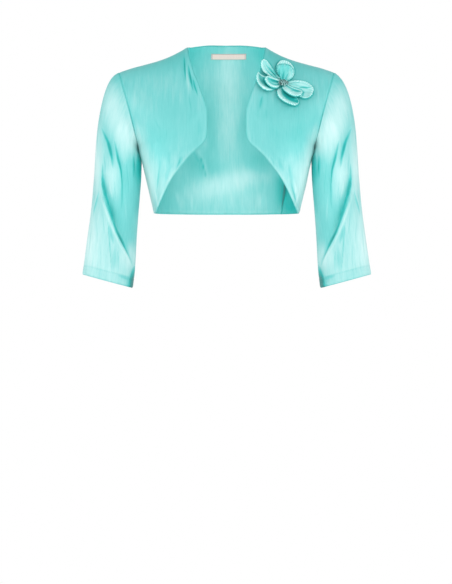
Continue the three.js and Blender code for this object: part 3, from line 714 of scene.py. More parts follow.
def grid_normals(grid, closed=False):
    """Unit normals of a grid of points, from along its rows and down its columns."""
    if closed:
        along = np.roll(grid, -1, axis=1) - np.roll(grid, 1, axis=1)
    else:
        along = np.gradient(grid, axis=1)
    normal = np.cross(along, np.gradient(grid, axis=0))
    size = np.linalg.norm(normal, axis=-1, keepdims=True)
    return normal / np.maximum(size, 1e-9)


def grid_normals_like(grid, before, closed=False):
    """Unit normals of a grid of points, on the same side as the directions before."""
    normals = grid_normals(grid, closed)
    return normals * np.sign(np.sum(normals * before, axis=-1, keepdims=True) + 1e-12)


def value_noise(across, along, seed):
    """Smooth random heights from -1 to 1, one to each unit square."""
    lattice = np.random.default_rng(seed).uniform(-1, 1, (257, 257))
    column, row = np.floor(across).astype(int), np.floor(along).astype(int)
    s, t = smoothstep(across - column, 0, 1), smoothstep(along - row, 0, 1)
    a, b = lattice[column % 256, row % 256], lattice[(column + 1) % 256, row % 256]
    c, d = lattice[column % 256, (row + 1) % 256], lattice[(column + 1) % 256, (row + 1) % 256]
    return (a * (1 - s) + b * s) * (1 - t) + (c * (1 - s) + d * s) * t


def crinkle_height(across, along, seed):
    """The random crinkles of the cloth, in millimetres."""
    height = np.zeros_like(across)
    for layer in CRINKLES:
        column = across / layer["across"] + CRINKLE_START["across"]
        row = along / layer["along"] + CRINKLE_START["along"]
        height += layer["height"] * value_noise(column, row, layer["seed"] + seed)
    return height


def beside_path(path, x, z):
    """Distance to a path seen from the front, below 0 on its inner side, and the share of it passed."""
    path = np.array(path, dtype=float)
    nearest = np.full(x.shape, np.inf)
    signed, passed = np.zeros(x.shape), np.zeros(x.shape)
    for i in range(len(path) - 1):
        (ax, az), (dx, dz) = path[i], path[i + 1] - path[i]
        share = np.clip(((x - ax) * dx + (z - az) * dz) / (dx * dx + dz * dz), 0, 1)
        away = np.hypot(x - ax - share * dx, z - az - share * dz)
        side = np.where(dx * (z - az) - dz * (x - ax) < 0, -1, 1)
        closer = away < nearest
        nearest = np.where(closer, away, nearest)
        signed = np.where(closer, away * side, signed)
        passed = np.where(closer, (i + share) / (len(path) - 1), passed)
    return signed, passed


def crease_height(creases, x, z):
    """How far a panel's creases move it out, and their painted highlight and shade, stronger on narrow ones.
    """
    height, tone = np.zeros(x.shape), np.zeros(x.shape)
    for crease in creases:
        away, passed = beside_path(crease["path"], x, z)
        fade = np.sin(np.pi * np.clip(passed, 0.03, 0.97)) ** 0.7
        moved = -crease["depth"] * fade * bell(away, crease["width"])
        height += moved
        tone += moved * min(RELIEF_PAINTED_LIGHT["crease"], 1 / crease["width"])
    return height, relief_painted_light(tone, 1)


def fold_height(grid, turn):
    """How far a sleeve's folds move it outwards."""
    x, z = grid[..., 0], grid[..., 2]
    facing = np.broadcast_to(np.sin(turn), x.shape)
    height = np.zeros(x.shape)
    for fold in SLEEVE_FOLDS:
        away, passed = beside_path(fold["path"], x, z)
        side = 1 if fold["face"] == "front" else -1
        shows = np.clip(facing * side * FOLD_SHAPE["round"], 0, 1)
        fade = shows * np.sin(np.pi * np.clip(passed, 0.01, 0.99)) ** FOLD_SHAPE["fade"]
        outer = smoothstep(away, -fold["edge"], fold["edge"] * FOLD_SHAPE["step"])
        off = away / fold["width"]
        from_crest, from_trough = np.abs(off - FOLD_SHAPE["crest"]), np.abs(off - FOLD_SHAPE["trough"])
        crest = fold["ridge"] * outer * np.exp(-(from_crest ** FOLD_SHAPE["falloff"]))
        trough = fold["depth"] * (1 - outer) * np.exp(-(from_trough ** FOLD_SHAPE["falloff"]))
        height += fade * (crest - trough)
    return height


def painted_light_at(patches, x, z):
    """Painted light at places seen from the front: a painted highlight above 0, painted shade below 0."""
    painted_light = np.zeros(x.shape)
    for patch in patches:
        turn = math.radians(patch.get("turn", 0))
        dx, dz = x - patch["x"], z - patch["z"]
        across = (dx * math.cos(turn) + dz * math.sin(turn)) / patch["wide"]
        along = (dz * math.cos(turn) - dx * math.sin(turn)) / patch["tall"]
        painted_light += patch["light"] * np.exp(-((across**2 + along**2) ** 1.25))
    return np.clip(painted_light, -1, 1.5)


def painted_stroke_tone(strokes, x, z):
    """Painted shade and highlight in strokes along paths seen from the front."""
    tone = np.zeros(x.shape)
    for stroke in strokes:
        away, passed = beside_path(stroke["path"], x, z)
        fade = np.sin(np.pi * np.clip(passed, 0, 1)) ** 0.8
        inner = stroke.get("inner", stroke["width"])
        width = np.where(away > 0, stroke["width"], inner) * (0.25 + 0.75 * fade)
        tone += stroke["light"] * fade * bell(away, width)
    return tone


def flower_shade(x, z):
    """Painted shadow of the flower's petals on the cloth beside them."""
    tone = np.zeros(x.shape)
    for petal in PETALS:
        outline = petal["left"] + petal["right"][-2::-1]
        path = [(FLOWER["x"] + FLOWER["size"] * px, FLOWER["z"] + FLOWER["size"] * pz) for px, pz in outline]
        tone = np.minimum(tone, painted_stroke_tone([{**PETAL_SHADE, "path": path}], x, z))
    return tone


def relief_painted_light(height, share):
    """Painted highlight on the cloth's ridges and painted shade in its troughs."""
    return np.clip(height * share, RELIEF_PAINTED_LIGHT["deepest"], RELIEF_PAINTED_LIGHT["palest"])


def shown_seam(z):
    """How plainly a seam shows: it fades where it runs down into the underarm."""
    least = SEAM_SHOWS["least"]
    return least + (1 - least) * smoothstep(z, SEAM_SHOWS["to"], SEAM_SHOWS["from"])


def arc_lengths(grid, axis):
    """Distance along a grid's rows or columns from its first point."""
    steps = np.linalg.norm(np.diff(grid, axis=axis), axis=-1)
    start = np.zeros_like(np.take(steps, [0], axis=axis))
    return np.concatenate([start, np.cumsum(steps, axis=axis)], axis=axis)


# Distances to a grid's edges, from its lengths across and along.
EDGES = {
    "top": lambda across, along: along,
    "bottom": lambda across, along: along[-1:] - along,
    "left": lambda across, along: across,
    "right": lambda across, along: across[:, -1:] - across,
}


def gather_at_underarm(z):
    """How full the cloth is just below the underarm."""
    return bell(z, UNDERARM_GATHER["tall"], UNDERARM_GATHER["z"])


def make_wall(name, outer, normals, thickness, cloth_map, painted_light, material, closed=False):
    """A closed shell from a grid of outer points, or from rings of them: its inner side and rounded rims."""
    inner = outer - normals * thickness[..., None]
    height, width = outer.shape[:2]
    count = height * width
    index = np.arange(count).reshape(height, width)
    points = [outer.reshape(-1, 3), inner.reshape(-1, 3)]
    cloth_map = np.concatenate([cloth_map, painted_light[..., None]], axis=-1)
    maps = [cloth_map.reshape(-1, 3), cloth_map.reshape(-1, 3)]
    faces = []
    next_column = np.roll(index, -1, axis=1) if closed else index[:, 1:]
    this_column = index if closed else index[:, :-1]

    def quads(a, b, c, d):
        faces.extend(zip(*(part.ravel().tolist() for part in (a, b, c, d))))

    quads(this_column[:-1], next_column[:-1], next_column[1:], this_column[1:])
    inner_corners = (this_column[1:], next_column[1:], next_column[:-1], this_column[:-1])
    quads(*(corner + count for corner in inner_corners))
    start = 2 * count

    def rim(line, beyond):
        """A row of points half-way down an edge's wall, pushed a little out of it."""
        nonlocal start
        middle = (outer[line] + inner[line]) / 2
        away = middle - outer[beyond]
        away /= np.maximum(np.linalg.norm(away, axis=-1, keepdims=True), 1e-9)
        points.append(middle + away * thickness[line][:, None] * 0.35)
        maps.append(cloth_map[line])
        made = np.arange(start, start + len(middle))
        start += len(middle)
        return made

    def close_edge(edge, middle, loop):
        following = np.roll(edge, -1) if loop else edge[1:]
        ahead = np.roll(middle, -1) if loop else middle[1:]
        edge, middle = (edge, middle) if loop else (edge[:-1], middle[:-1])
        quads(following, edge, middle, ahead)
        quads(ahead, middle, edge + count, following + count)

    top = rim((0, slice(None)), (1, slice(None)))
    bottom = rim((-1, slice(None)), (-2, slice(None)))
    close_edge(index[0], top, closed)
    close_edge(index[-1][::-1], bottom[::-1], closed)
    if not closed:
        left = rim((slice(None), 0), (slice(None), 1))
        right = rim((slice(None), -1), (slice(None), -2))
        close_edge(index[::-1, 0], left[::-1], False)
        close_edge(index[:, -1], right, False)
        for corner, row, column in (
            (index[0, 0], top[0], left[0]),
            (index[0, -1], right[0], top[-1]),
            (index[-1, -1], bottom[-1], right[-1]),
            (index[-1, 0], left[-1], bottom[0]),
        ):
            faces.append((corner, row, column))
            faces.append((row, corner + count, column))
    return mesh_piece(name, np.concatenate(points), faces, np.concatenate(maps), material)


def mesh_piece(name, points, faces, cloth_map, material):
    """A smooth object from points in millimetres, with its faces outwards and the cloth's map in metres."""
    mesh = bpy.data.meshes.new(name)
    mesh.from_pydata((points * MM).tolist(), [], [[int(i) for i in face] for face in faces])
    loops = np.empty(len(mesh.loops), dtype=np.int32)
    mesh.loops.foreach_get("vertex_index", loops)
    layer = mesh.uv_layers.new(name=CLOTH_UV)
    layer.data.foreach_set("uv", (cloth_map[loops, :2] * MM).ravel().astype(np.float32))
    painted_light = mesh.attributes.new(PAINTED_LIGHT_ATTRIBUTE, "FLOAT", "POINT")
    painted_light.data.foreach_set("value", cloth_map[:, 2].astype(np.float32))
    work = bmesh.new()
    work.from_mesh(mesh)
    if work.calc_volume(signed=True) < 0:
        bmesh.ops.reverse_faces(work, faces=work.faces)
    work.to_mesh(mesh)
    work.free()
    mesh.polygons.foreach_set("use_smooth", [True] * len(mesh.polygons))
    mesh.materials.append(material)
    return add_object(name, mesh)


def add_object(name, data):
    """A new object in the scene."""
    made = bpy.data.objects.new(name, data)
    bpy.context.scene.collection.objects.link(made)
    return made


def finish_piece(piece, slot, *nodes):
    """The piece rides on the jacket's one body and takes the place of its solids."""
    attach(piece, BODY)
    if nodes:
        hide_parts(*nodes)
    return piece


def add_node(tree, kind, settings=None, values=None):
    """Adds a node to a tree, changes its settings, and sets or links its sockets."""
    made = tree.nodes.new(kind)
    for name, value in (settings or {}).items():
        setattr(made, name, value)
    for key, value in (values or {}).items():
        join(tree, made.inputs[key], value)
    return made


def join(tree, socket, value):
    """Gives a socket a value, or a link to another node's socket."""
    if isinstance(value, bpy.types.NodeSocket):
        tree.links.new(value, socket)
    else:
        socket.default_value = value


class Varying:
    """A socket whose number varies over a surface, with arithmetic that adds Math nodes."""

    def __init__(self, shader, socket):
        self.shader = shader
        self.socket = socket

    def combine(self, operation, other):
        return self.shader.node("ShaderNodeMath", {"operation": operation}, {0: self, 1: other})

    def __add__(self, other):
        return self.combine("ADD", other)

    def __sub__(self, other):
        return self.combine("SUBTRACT", other)

    def __mul__(self, other):
        return self.combine("MULTIPLY", other)


class Shader:
    """A material's nodes."""

    def __init__(self, name):
        self.material = bpy.data.materials.new(name)
        self.material.use_nodes = True
        self.tree = self.material.node_tree
        self.surface = self.tree.nodes["Principled BSDF"]

    def node(self, kind, settings=None, values=None, output=0):
        """Adds a node and gives one of its outputs."""
        sockets = {key: getattr(value, "socket", value) for key, value in (values or {}).items()}
        return Varying(self, add_node(self.tree, kind, settings, sockets).outputs[output])

    def finish(self, **values):
        """Sets the surface's own sockets, named with underscores for spaces."""
        for name, value in values.items():
            join(self.tree, self.surface.inputs[name.replace("_", " ")], getattr(value, "socket", value))
        return self.material

    def cloth(self):
        """The place on the cloth's own map."""
        return self.node("ShaderNodeUVMap", {"uv_map": CLOTH_UV})

    def place(self):
        """The place on the object."""
        return self.node("ShaderNodeTexCoord", output=3)

    def painted_light(self):
        """The painted highlight and shade that the mesh carries."""
        return self.node("ShaderNodeAttribute", {"attribute_name": PAINTED_LIGHT_ATTRIBUTE}, output=2)

    def noise(self, place, scale, detail=2.0):
        """Random heights from 0 to 1 at a place."""
        return self.node("ShaderNodeTexNoise", values={"Vector": place, "Scale": scale, "Detail": detail})

    def grain(self, cloth, across, along, detail):
        """Random heights on the cloth, of a size across the grain and one along it in millimetres."""
        scale = (1 / (across * MM), 1 / (along * MM), 1.0)
        place = self.node("ShaderNodeMapping", values={"Vector": cloth, "Scale": scale})
        return self.noise(place, 1.0, detail)

    def mix(self, share, dark, light):
        """A colour between two."""
        values = {"Factor": share, 6: dark, 7: light}
        return self.node("ShaderNodeMix", {"data_type": "RGBA"}, values, output=2)

    def bump(self, height, distance):
        """A normal from heights of 0 to 1, with the distance in millimetres."""
        return self.node("ShaderNodeBump", values={"Height": height, "Distance": distance * MM})


def tint(colour, amount):
    """A colour made lighter or darker."""
    return (*(min(1.0, part * amount) for part in colour[:3]), 1.0)


def satin_material(name, painted_shade, plain, painted_highlight, roughness, relief):
    """Crinkled satin: painted highlight and shade from the mesh, broken up by streaks along the grain."""
    shader = Shader(name)
    cloth = shader.cloth()
    crush, streak, thread = (shader.grain(cloth, *size) for size in SATIN_GRAIN.values())
    height = crush * 0.9 + streak * 0.5 + thread * 0.06
    tone = shader.painted_light() * (crush * 0.4 + 0.8) + (streak - 0.5) * 0.5
    tone = tone + (crush - 0.5) * 0.4 + (thread - 0.5) * 0.2
    # Painted highlight mixes towards its colour, painted shade towards its own and, past -1, darker still.
    lit = shader.mix(tone * 0.67, plain, painted_highlight)
    sunk = shader.mix(tone * -1, lit, painted_shade)
    return shader.finish(
        Base_Color=shader.mix((tone + 1) * -0.8, sunk, tint(painted_shade, 0.45)),
        Roughness=crush * 0.12 + (roughness - 0.06),
        Normal=shader.bump(height, relief),
        IOR=1.5,
        Specular_IOR_Level=0.7,
        Anisotropic=0.5,
    )


def label_material(colour):
    """A plain twill-woven label, with painted shade at its edges and along its sewn ends."""
    shader = Shader("label_weave")
    cloth = shader.cloth()
    wave = {"Vector": cloth, "Scale": 900.0, "Distortion": 0.4}
    twill = shader.node("ShaderNodeTexWave", {"bands_direction": "DIAGONAL"}, wave)
    weave = twill * 0.6 + shader.grain(cloth, 6, 0.4, 2.0) * 0.4
    woven = shader.mix(weave, tint(colour, 0.86), tint(colour, 1.06))
    return shader.finish(
        Base_Color=shader.mix(shader.painted_light() * -1, woven, tint(colour, 0.45)),
        Roughness=0.72,
        Normal=shader.bump(weave, 0.12),
        Sheen_Weight=0.3,
    )


def bead_material(colour):
    """Dark silver with a little tarnish."""
    shader = Shader("bead_metal")
    tarnish = (shader.noise(shader.place(), 420.0) - 0.5) * 2.5 + 0.5
    return shader.finish(
        Base_Color=shader.mix(tarnish, tint(colour, 0.35), tint(colour, 6)),
        Metallic=0.85,
        Roughness=tarnish * 0.2 + 0.12,
        Coat_Weight=0.6,
    )


def thread_material(colour):
    """Sewing thread in the cloth's colour, a shade deeper."""
    shader = Shader("hem_thread")
    ply = shader.noise(shader.place(), 1600.0, 1.0)
    shade = shader.mix(ply, tint(colour, 0.8), tint(colour, 1.1))
    return shader.finish(Base_Color=shade, Roughness=0.5, Sheen_Weight=0.2)


def shared_material(name):
    """One of the jacket's materials, made once and then shared."""
    finish = bpy.context.scene.bolero_finish
    jacket, petals = (finish.satin, finish.painted_highlight), (finish.petal, finish.petal_painted_highlight)
    makers = {
        "jacket_satin": lambda: satin_material(name, finish.painted_shade, *jacket, finish.gloss, 0.8),
        "pressed_satin": lambda: satin_material(name, finish.painted_shade, *petals, finish.gloss, 0.4),
        "hem_thread": lambda: thread_material(finish.satin),
        "bead_metal": lambda: bead_material(finish.bead),
        "label_weave": lambda: label_material(finish.label),
    }
    return bpy.data.materials.get(name) or makers[name]()


def sew_panel(node, grid, creases, painted_light, seed, seams, edges):
    """A torso panel: its grid with crinkles, creases, seams and turned edges, made into a wall."""
    sizes = bpy.context.scene.bolero_cloth
    x, z = grid[..., 0], grid[..., 2]
    normals = grid_normals(grid)
    if np.sum(normals[..., 1] * grid[..., 1]) < 0:
        normals = -normals
    across, along = arc_lengths(grid, 1), arc_lengths(grid, 0)
    nearest_seam = np.min([distance(across, along) for distance in seams], axis=0)
    nearest_edge = np.min([distance(across, along) for distance in edges], axis=0)
    calm = smoothstep(nearest_seam, 0, SEAM_CALM["crinkle"])
    middle, down = 0, along
    if node == "back":
        middle, down = grid.shape[1] // 2, along - along[-1:]
        beside = np.maximum(np.abs(x - LABEL["x"]) - LABEL["width"] / 2, 0)
        above = np.maximum(np.abs(z - LABEL["z"]) - LABEL["height"] / 2, 0)
        calm = calm * smoothstep(np.hypot(beside, above), 1, SEAM_CALM["label"])
    start = across[:, middle : middle + 1] - np.abs(x[:, middle : middle + 1])
    cloth_map = np.stack([across - start, -down], axis=-1)
    height = sizes.crinkle * calm * crinkle_height(cloth_map[..., 0], down + CRINKLE_START["down"], seed)
    creased, crease_painted_light = crease_height(creases, x, z)
    # Painted light: what the caller gives, painted highlight and shade from crinkles and creases, and
    # painted shade along seams and turned edges.
    painted_light = painted_light + relief_painted_light(height, RELIEF_PAINTED_LIGHT["crinkle"]) + crease_painted_light
    painted_light += bands(nearest_seam, SEAM_PAINTED_SHADE) * shown_seam(z) + bands(nearest_edge, EDGE_PAINTED_LIGHT)
    height += sizes.folds * smoothstep(nearest_seam, 0, SEAM_CALM["crease"]) * creased
    to_side = np.maximum(half_width(z) - np.abs(x), 0)
    height += UNDERARM_GATHER["body"] * gather_at_underarm(z) * np.exp(-to_side / UNDERARM_GATHER["reach"])
    height += bands(nearest_seam, SEAM_RELIEF) * shown_seam(z)
    height += bands(nearest_edge, EDGE_RELIEF) * smoothstep(nearest_seam, 0, SEAM_CALM["edge"])
    outer = grid + normals * height[..., None]
    facing = grid_normals_like(outer, normals)
    thickness = np.full(height.shape, sizes.cloth / MM)
    satin = shared_material("jacket_satin")
    piece = make_wall(f"cloth_{node}", outer, facing, thickness, cloth_map, painted_light, satin)
    finish_piece(piece, "satin", node)


class BOLERO_OT_back(bpy.types.Operator):
    """Sews the back panel"""

    bl_idname = "bolero.back"
    bl_label = "Back"

    def execute(self, context):
        grid = back_grid()
        x, z = grid[..., 0], grid[..., 2]
        beyond_neck = np.abs(x[0]) - NECK_HALF

        def shoulder_seam(across, along):
            return np.hypot(along, np.maximum(-beyond_neck, 0))

        def neck_edge(across, along):
            return np.hypot(along, np.maximum(beyond_neck, 0))

        # Painted highlights and shade on the back, with painted shadows beside the fronts' edges and the
        # dart.
        painted_light = painted_light_at(BACK_PAINTED_LIGHT, x, z) + painted_stroke_tone(BACK_PAINTED_STROKES, x, z)
        seams, edges = [shoulder_seam, EDGES["left"], EDGES["right"]], [neck_edge, EDGES["bottom"]]
        sew_panel("back", grid, BACK_CREASES, painted_light, SEEDS["back"], seams, edges)
        return {"FINISHED"}


class BOLERO_OT_fronts(bpy.types.Operator):
    """Sews the two fronts"""

    bl_idname = "bolero.fronts"
    bl_label = "Fronts"

    def execute(self, context):
        left = front_grid()
        x, z = left[..., 0], left[..., 2]
        seams, edges = [EDGES["top"], EDGES["right"]], [EDGES["left"], EDGES["bottom"]]
        for side, sign in SIDES.items():
            # Painted highlights and shade on each front, with the painted shadow of the flower's petals.
            painted_light = painted_light_at(FRONT_PAINTED_LIGHT, x, z) + painted_stroke_tone(FRONT_PAINTED_STROKES, x * sign, z)
            painted_light = painted_light + flower_shade(x * sign, z)
            node = f"front_{side}"
            sew_panel(node, left * (sign, 1, 1), FRONT_CREASES, painted_light, SEEDS[node], seams, edges)
        return {"FINISHED"}


class BOLERO_OT_sleeves(bpy.types.Operator):
    """Sews the two sleeves, with their hems"""

    bl_idname = "bolero.sleeves"
    bl_label = "Sleeves"

    def execute(self, context):
        sizes = context.scene.bolero_cloth
        hem = sizes.hem_depth / MM
        grid, turn = sleeve_grid(hem)
        x, z = grid[..., 0], grid[..., 2]
        normals = grid_normals(grid, True)
        if np.sum(normals * (grid - grid.mean(axis=1, keepdims=True))) < 0:
            normals = -normals
        from_armhole = arc_lengths(grid, 0)
        to_cuff = from_armhole[-1:] - from_armhole
        around = np.broadcast_to((turn * ARM_RADIUS)[None, :], to_cuff.shape)
        cloth_map = np.stack([around, to_cuff], axis=-1)
        under_seam = (np.pi - np.abs(turn))[None, :] * ARM_RADIUS
        calm = 1.0
        for from_seam in (from_armhole, under_seam):
            calm = calm * smoothstep(from_seam, 0, SEAM_CALM["crinkle"])
        folded = sizes.folds * smoothstep(from_armhole, 0, SEAM_CALM["fold"]) * fold_height(grid, turn)
        outward = np.cos(turn)[None, :]
        wave = np.cos(around / EASING["wave"] * 2 * np.pi) * np.exp(-from_armhole / EASING["reach"])
        easing = EASING["height"] * wave * smoothstep(from_armhole, 0, SEAM_CALM["easing"])
        easing *= smoothstep(outward, -0.2, 0.5)
        gather = UNDERARM_GATHER["sleeve"] * smoothstep(-outward, 0.75, 1) * gather_at_underarm(z)
        sewn = bands(from_armhole, SEAM_RELIEF) * shown_seam(z) + bands(to_cuff, EDGE_RELIEF)
        in_hem = smoothstep(-to_cuff, -hem - 1, -hem)
        for side, sign in SIDES.items():
            node = f"sleeve_{side}"
            crinkles = crinkle_height(around + CRINKLE_START["down"], to_cuff, SEEDS[node])
            crinkles = sizes.crinkle * calm * crinkles
            # Painted highlights and shade: ovals, strokes, the crinkles' and folds' relief, and painted
            # shade along the armhole seam, the cuff's edge and the hem's line, with the hem's band painted a
            # little deeper.
            painted_light = painted_light_at(SLEEVE_PAINTED_LIGHT, x, z) + relief_painted_light(crinkles, RELIEF_PAINTED_LIGHT["crinkle"])
            painted_light += relief_painted_light(folded, RELIEF_PAINTED_LIGHT["fold"]) + painted_stroke_tone(SLEEVE_PAINTED_STROKES, x, z)
            painted_light += bands(from_armhole, SEAM_PAINTED_SHADE) * shown_seam(z) + 0.5 * bands(to_cuff, EDGE_PAINTED_LIGHT)
            painted_light += bands(to_cuff - hem, HEM_PAINTED_SHADE) - HEM_DEEPER * in_hem
            height = crinkles + folded + gather + easing + sewn + bands(to_cuff - hem, HEM_RELIEF)
            outer = grid + normals * height[..., None]
            facing = grid_normals_like(outer, normals, True)
            thickness = (sizes.cloth + sizes.hem_extra * smoothstep(-to_cuff, -hem - 1, -hem + 1)) / MM
            outer, facing = outer * (sign, 1, 1), facing * (sign, 1, 1)
            satin = shared_material("jacket_satin")
            piece = make_wall(f"cloth_{node}", outer, facing, thickness, cloth_map, painted_light, satin, True)
            finish_piece(piece, "satin", node)
            ring = int(np.argmin(np.abs(to_cuff[:, 0] - hem)))
            stitches = stitch_run(f"cuff_stitches_{side}", outer[ring] + facing[ring] * STITCH_LIFT, True)
        return {"FINISHED"}


class Tree:
    """A geometry node tree with a geometry in and out, and named inputs."""

    def __init__(self, name, **inputs):
        self.tree = bpy.data.node_groups.new(name, "GeometryNodeTree")
        self.socket("Geometry", "Geometry")
        for label, (kind, *default) in inputs.items():
            made = self.socket(label, kind)
            if default:
                made.default_value = default[0]
        self.socket("Material", "Material")
        self.socket("Geometry", "Geometry", "OUTPUT")
        self.source = self.tree.nodes.new("NodeGroupInput").outputs

    def socket(self, label, kind, way="INPUT"):
        return self.tree.interface.new_socket(label, in_out=way, socket_type=f"NodeSocket{kind}")

    def node(self, kind, settings=None, **values):
        """Adds a node and gives its outputs."""
        return add_node(self.tree, kind, settings, values).outputs

    def scatter(self, **values):
        """Lays instances on points, makes them real and gives them the material."""
        placed = self.node("GeometryNodeInstanceOnPoints", **values)
        real = self.node("GeometryNodeRealizeInstances", Geometry=placed["Instances"])
        painted = self.node(
            "GeometryNodeSetMaterial", Geometry=real["Geometry"], Material=self.source["Material"]
        )
        add_node(self.tree, "NodeGroupOutput", values={"Geometry": painted["Geometry"]})
        return self.tree


def run_tree(name, mesh, tree, values):
    """The plain mesh that a geometry tree makes from a mesh, as a new object."""
    carrier = add_object(f"{name}_source", mesh)
    modifier = carrier.modifiers.new(tree.name, "NODES")
    modifier.node_group = tree
    sockets = {item.name: item.identifier for item in tree.interface.items_tree if item.in_out == "INPUT"}
    for label, value in values.items():
        modifier[sockets[label]] = value
    made = bpy.data.meshes.new_from_object(carrier.evaluated_get(bpy.context.evaluated_depsgraph_get()))
    made.name = name
    carrier.modifiers.remove(modifier)
    bpy.data.objects.remove(carrier)
    return add_object(name, made)


def stitch_tree():
    """Sewing stitches along a line: short plump threads laid end to end with gaps."""
    known = bpy.data.node_groups.get("stitch_line")
    if known:
        return known
    made = Tree("stitch_line", Stitch=("Float", 0.0019), Step=("Float", 0.003), Thread=("Float", 0.0003))
    source = made.source
    line = made.node("GeometryNodeMeshToCurve", Mesh=source["Geometry"])["Curve"]
    evenly = made.node("GeometryNodeResampleCurve", {"mode": "LENGTH"}, Curve=line, Length=source["Step"])
    tangent = made.node("GeometryNodeInputTangent")["Tangent"]
    turned = made.node("FunctionNodeAlignRotationToVector", {"axis": "X"}, Vector=tangent)
    thread = made.node("GeometryNodeMeshUVSphere", Segments=8, Rings=5, Radius=0.5)
    size = made.node("ShaderNodeCombineXYZ", X=source["Stitch"], Y=source["Thread"], Z=source["Thread"])
    return made.scatter(
        Points=evenly["Curve"], Instance=thread["Mesh"], Rotation=turned["Rotation"], Scale=size["Vector"]
    )


def stitch_run(name, line, closed):
    """Stitches along a line of points in millimetres."""
    sizes = bpy.context.scene.bolero_cloth
    mesh = bpy.data.meshes.new(f"{name}_line")
    count = len(line)
    links = [(i, (i + 1) % count) for i in range(count if closed else count - 1)]
    mesh.from_pydata((line * MM).tolist(), links, [])
    values = {"Stitch": sizes.stitch, "Step": sizes.stitch_step, "Material": shared_material("hem_thread")}
    piece = run_tree(name, mesh, stitch_tree(), values)
    piece.data.polygons.foreach_set("use_smooth", [True] * len(piece.data.polygons))
    return finish_piece(piece, "satin")


def form_frame(side, x, z):
    """A point of the form and its direction outwards."""
    step = 0.5
    across = on_form(side, x + step, z) - on_form(side, x - step, z)
    up = on_form(side, x, z + step) - on_form(side, x, z - step)
    out = np.cross(across, up) * -FACING[side]
    return on_form(side, x, z), out / np.linalg.norm(out)


class FlowerPlace:
    """The flower's own flat plane on the left front."""

    def __init__(self):
        self.point, self.out = form_frame("front", FLOWER["x"], FLOWER["z"])

    def world(self, x, z, height):
        """Points for places seen from the front, from the flower's middle, and heights above its plane."""
        x, z = x * FLOWER["size"], z * FLOWER["size"]
        y = (height - self.out[0] * x - self.out[2] * z) / self.out[1]
        return self.point + np.stack([x, y, z], axis=-1)

    def cloth_height(self, x, z):
        """How high the front's cloth stands over the flower's plane."""
        flat = self.world(x, z, np.zeros(x.shape))
        cloth = on_form("front", flat[..., 0], flat[..., 2])
        return (cloth[..., 1] - flat[..., 1]) * self.out[1]


def petal_side(points, share):
    """Places along one traced side of a petal."""
    rows = [{"share": i / (len(points) - 1), "x": x, "z": z} for i, (x, z) in enumerate(points)]
    return np.stack([curve_through(rows, "share", axis)(share) for axis in ("x", "z")], axis=-1)


def petal_grid(petal, place, roll):
    """One petal as a grid, from its pinched root to its round end, with its map and its painted light."""
    steps = FLOWER["steps"]
    share = PETAL_TIP * np.sin(np.pi / 2 * np.linspace(0, 1, steps + 1))
    across = np.sin(np.pi / 2 * np.linspace(-1, 1, steps + 1))[None, :]
    left, right = petal_side(petal["left"], share), petal_side(petal["right"], share)
    half = np.linalg.norm(left - right, axis=-1)[:, None] / 2
    middle = (left + right) / 2
    reach = arc_lengths(middle, 0)[:, None]
    along = reach / reach[-1]
    flat = middle[:, None] + (left - right)[:, None] / 2 * across[..., None]
    away = {
        "left": (1 - across) * half,
        "right": (1 + across) * half,
        "tip": np.broadcast_to(reach[-1] - reach, flat.shape[:2]),
    }
    rise, pleats, tone = (dict(zip(names, petal[part])) for part, names in PETAL_PARTS.items())
    grown = smoothstep(along, 0.02, 0.4)
    height = np.broadcast_to(rise["base"] + rise["lift"] * along**1.3, flat.shape[:2]).copy()
    painted_light = np.zeros(height.shape)
    for side, distance in away.items():
        height += rise[side] * bell(np.maximum(distance - roll, 0), rise["flank"]) * grown
        rim = np.exp(-((distance / tone[side]) ** 7)) * smoothstep(along, 0, 0.2)
        painted_light = np.maximum(painted_light, rim)
    to_edge = np.minimum(np.minimum(away["left"], away["right"]), away["tip"])
    height -= roll * (1 - np.sqrt(1 - np.clip(1 - to_edge / roll, 0, 1) ** 2)) * grown
    folded = np.cos(pleats["count"] * np.pi * across) * (1 - along) ** 0.8
    height += pleats["height"] * folded * smoothstep(along, 0, 0.1)
    bearing = np.arctan2(across * half, reach - 0.55 * reach[-1])
    ticks = np.cos(bearing * round(2.2 * reach[-1, 0] / RIM_TICKS["apart"])) * painted_light * grown
    height += RIM_TICKS["height"] * ticks
    # Painted highlight on the rims over the floor's painted tone, then painted shade and highlight on
    # pleats, ticks and strokes, and a line of painted shade at the edge.
    painted_light = tone["floor"] + (FLOWER["painted_highlight"] - tone["floor"]) * painted_light
    painted_light += pleats["tone"] * folded + RIM_TICKS["tone"] * ticks
    strokes = [stroke for stroke in PETAL_PAINTED_STROKES if stroke["petal"] == petal["name"]]
    painted_light = painted_light + painted_stroke_tone(strokes, flat[..., 0], flat[..., 1])
    painted_light -= RIM_LINE["tone"] * bell(to_edge, RIM_LINE["width"])
    cloth = place.cloth_height(flat[..., 0], flat[..., 1])
    height += FLOWER["follow"] * np.minimum(cloth, 0) + np.maximum(cloth, 0)
    points = place.world(flat[..., 0], flat[..., 1], height)
    return points, np.stack([across * half, np.broadcast_to(reach, height.shape)], axis=-1), painted_light


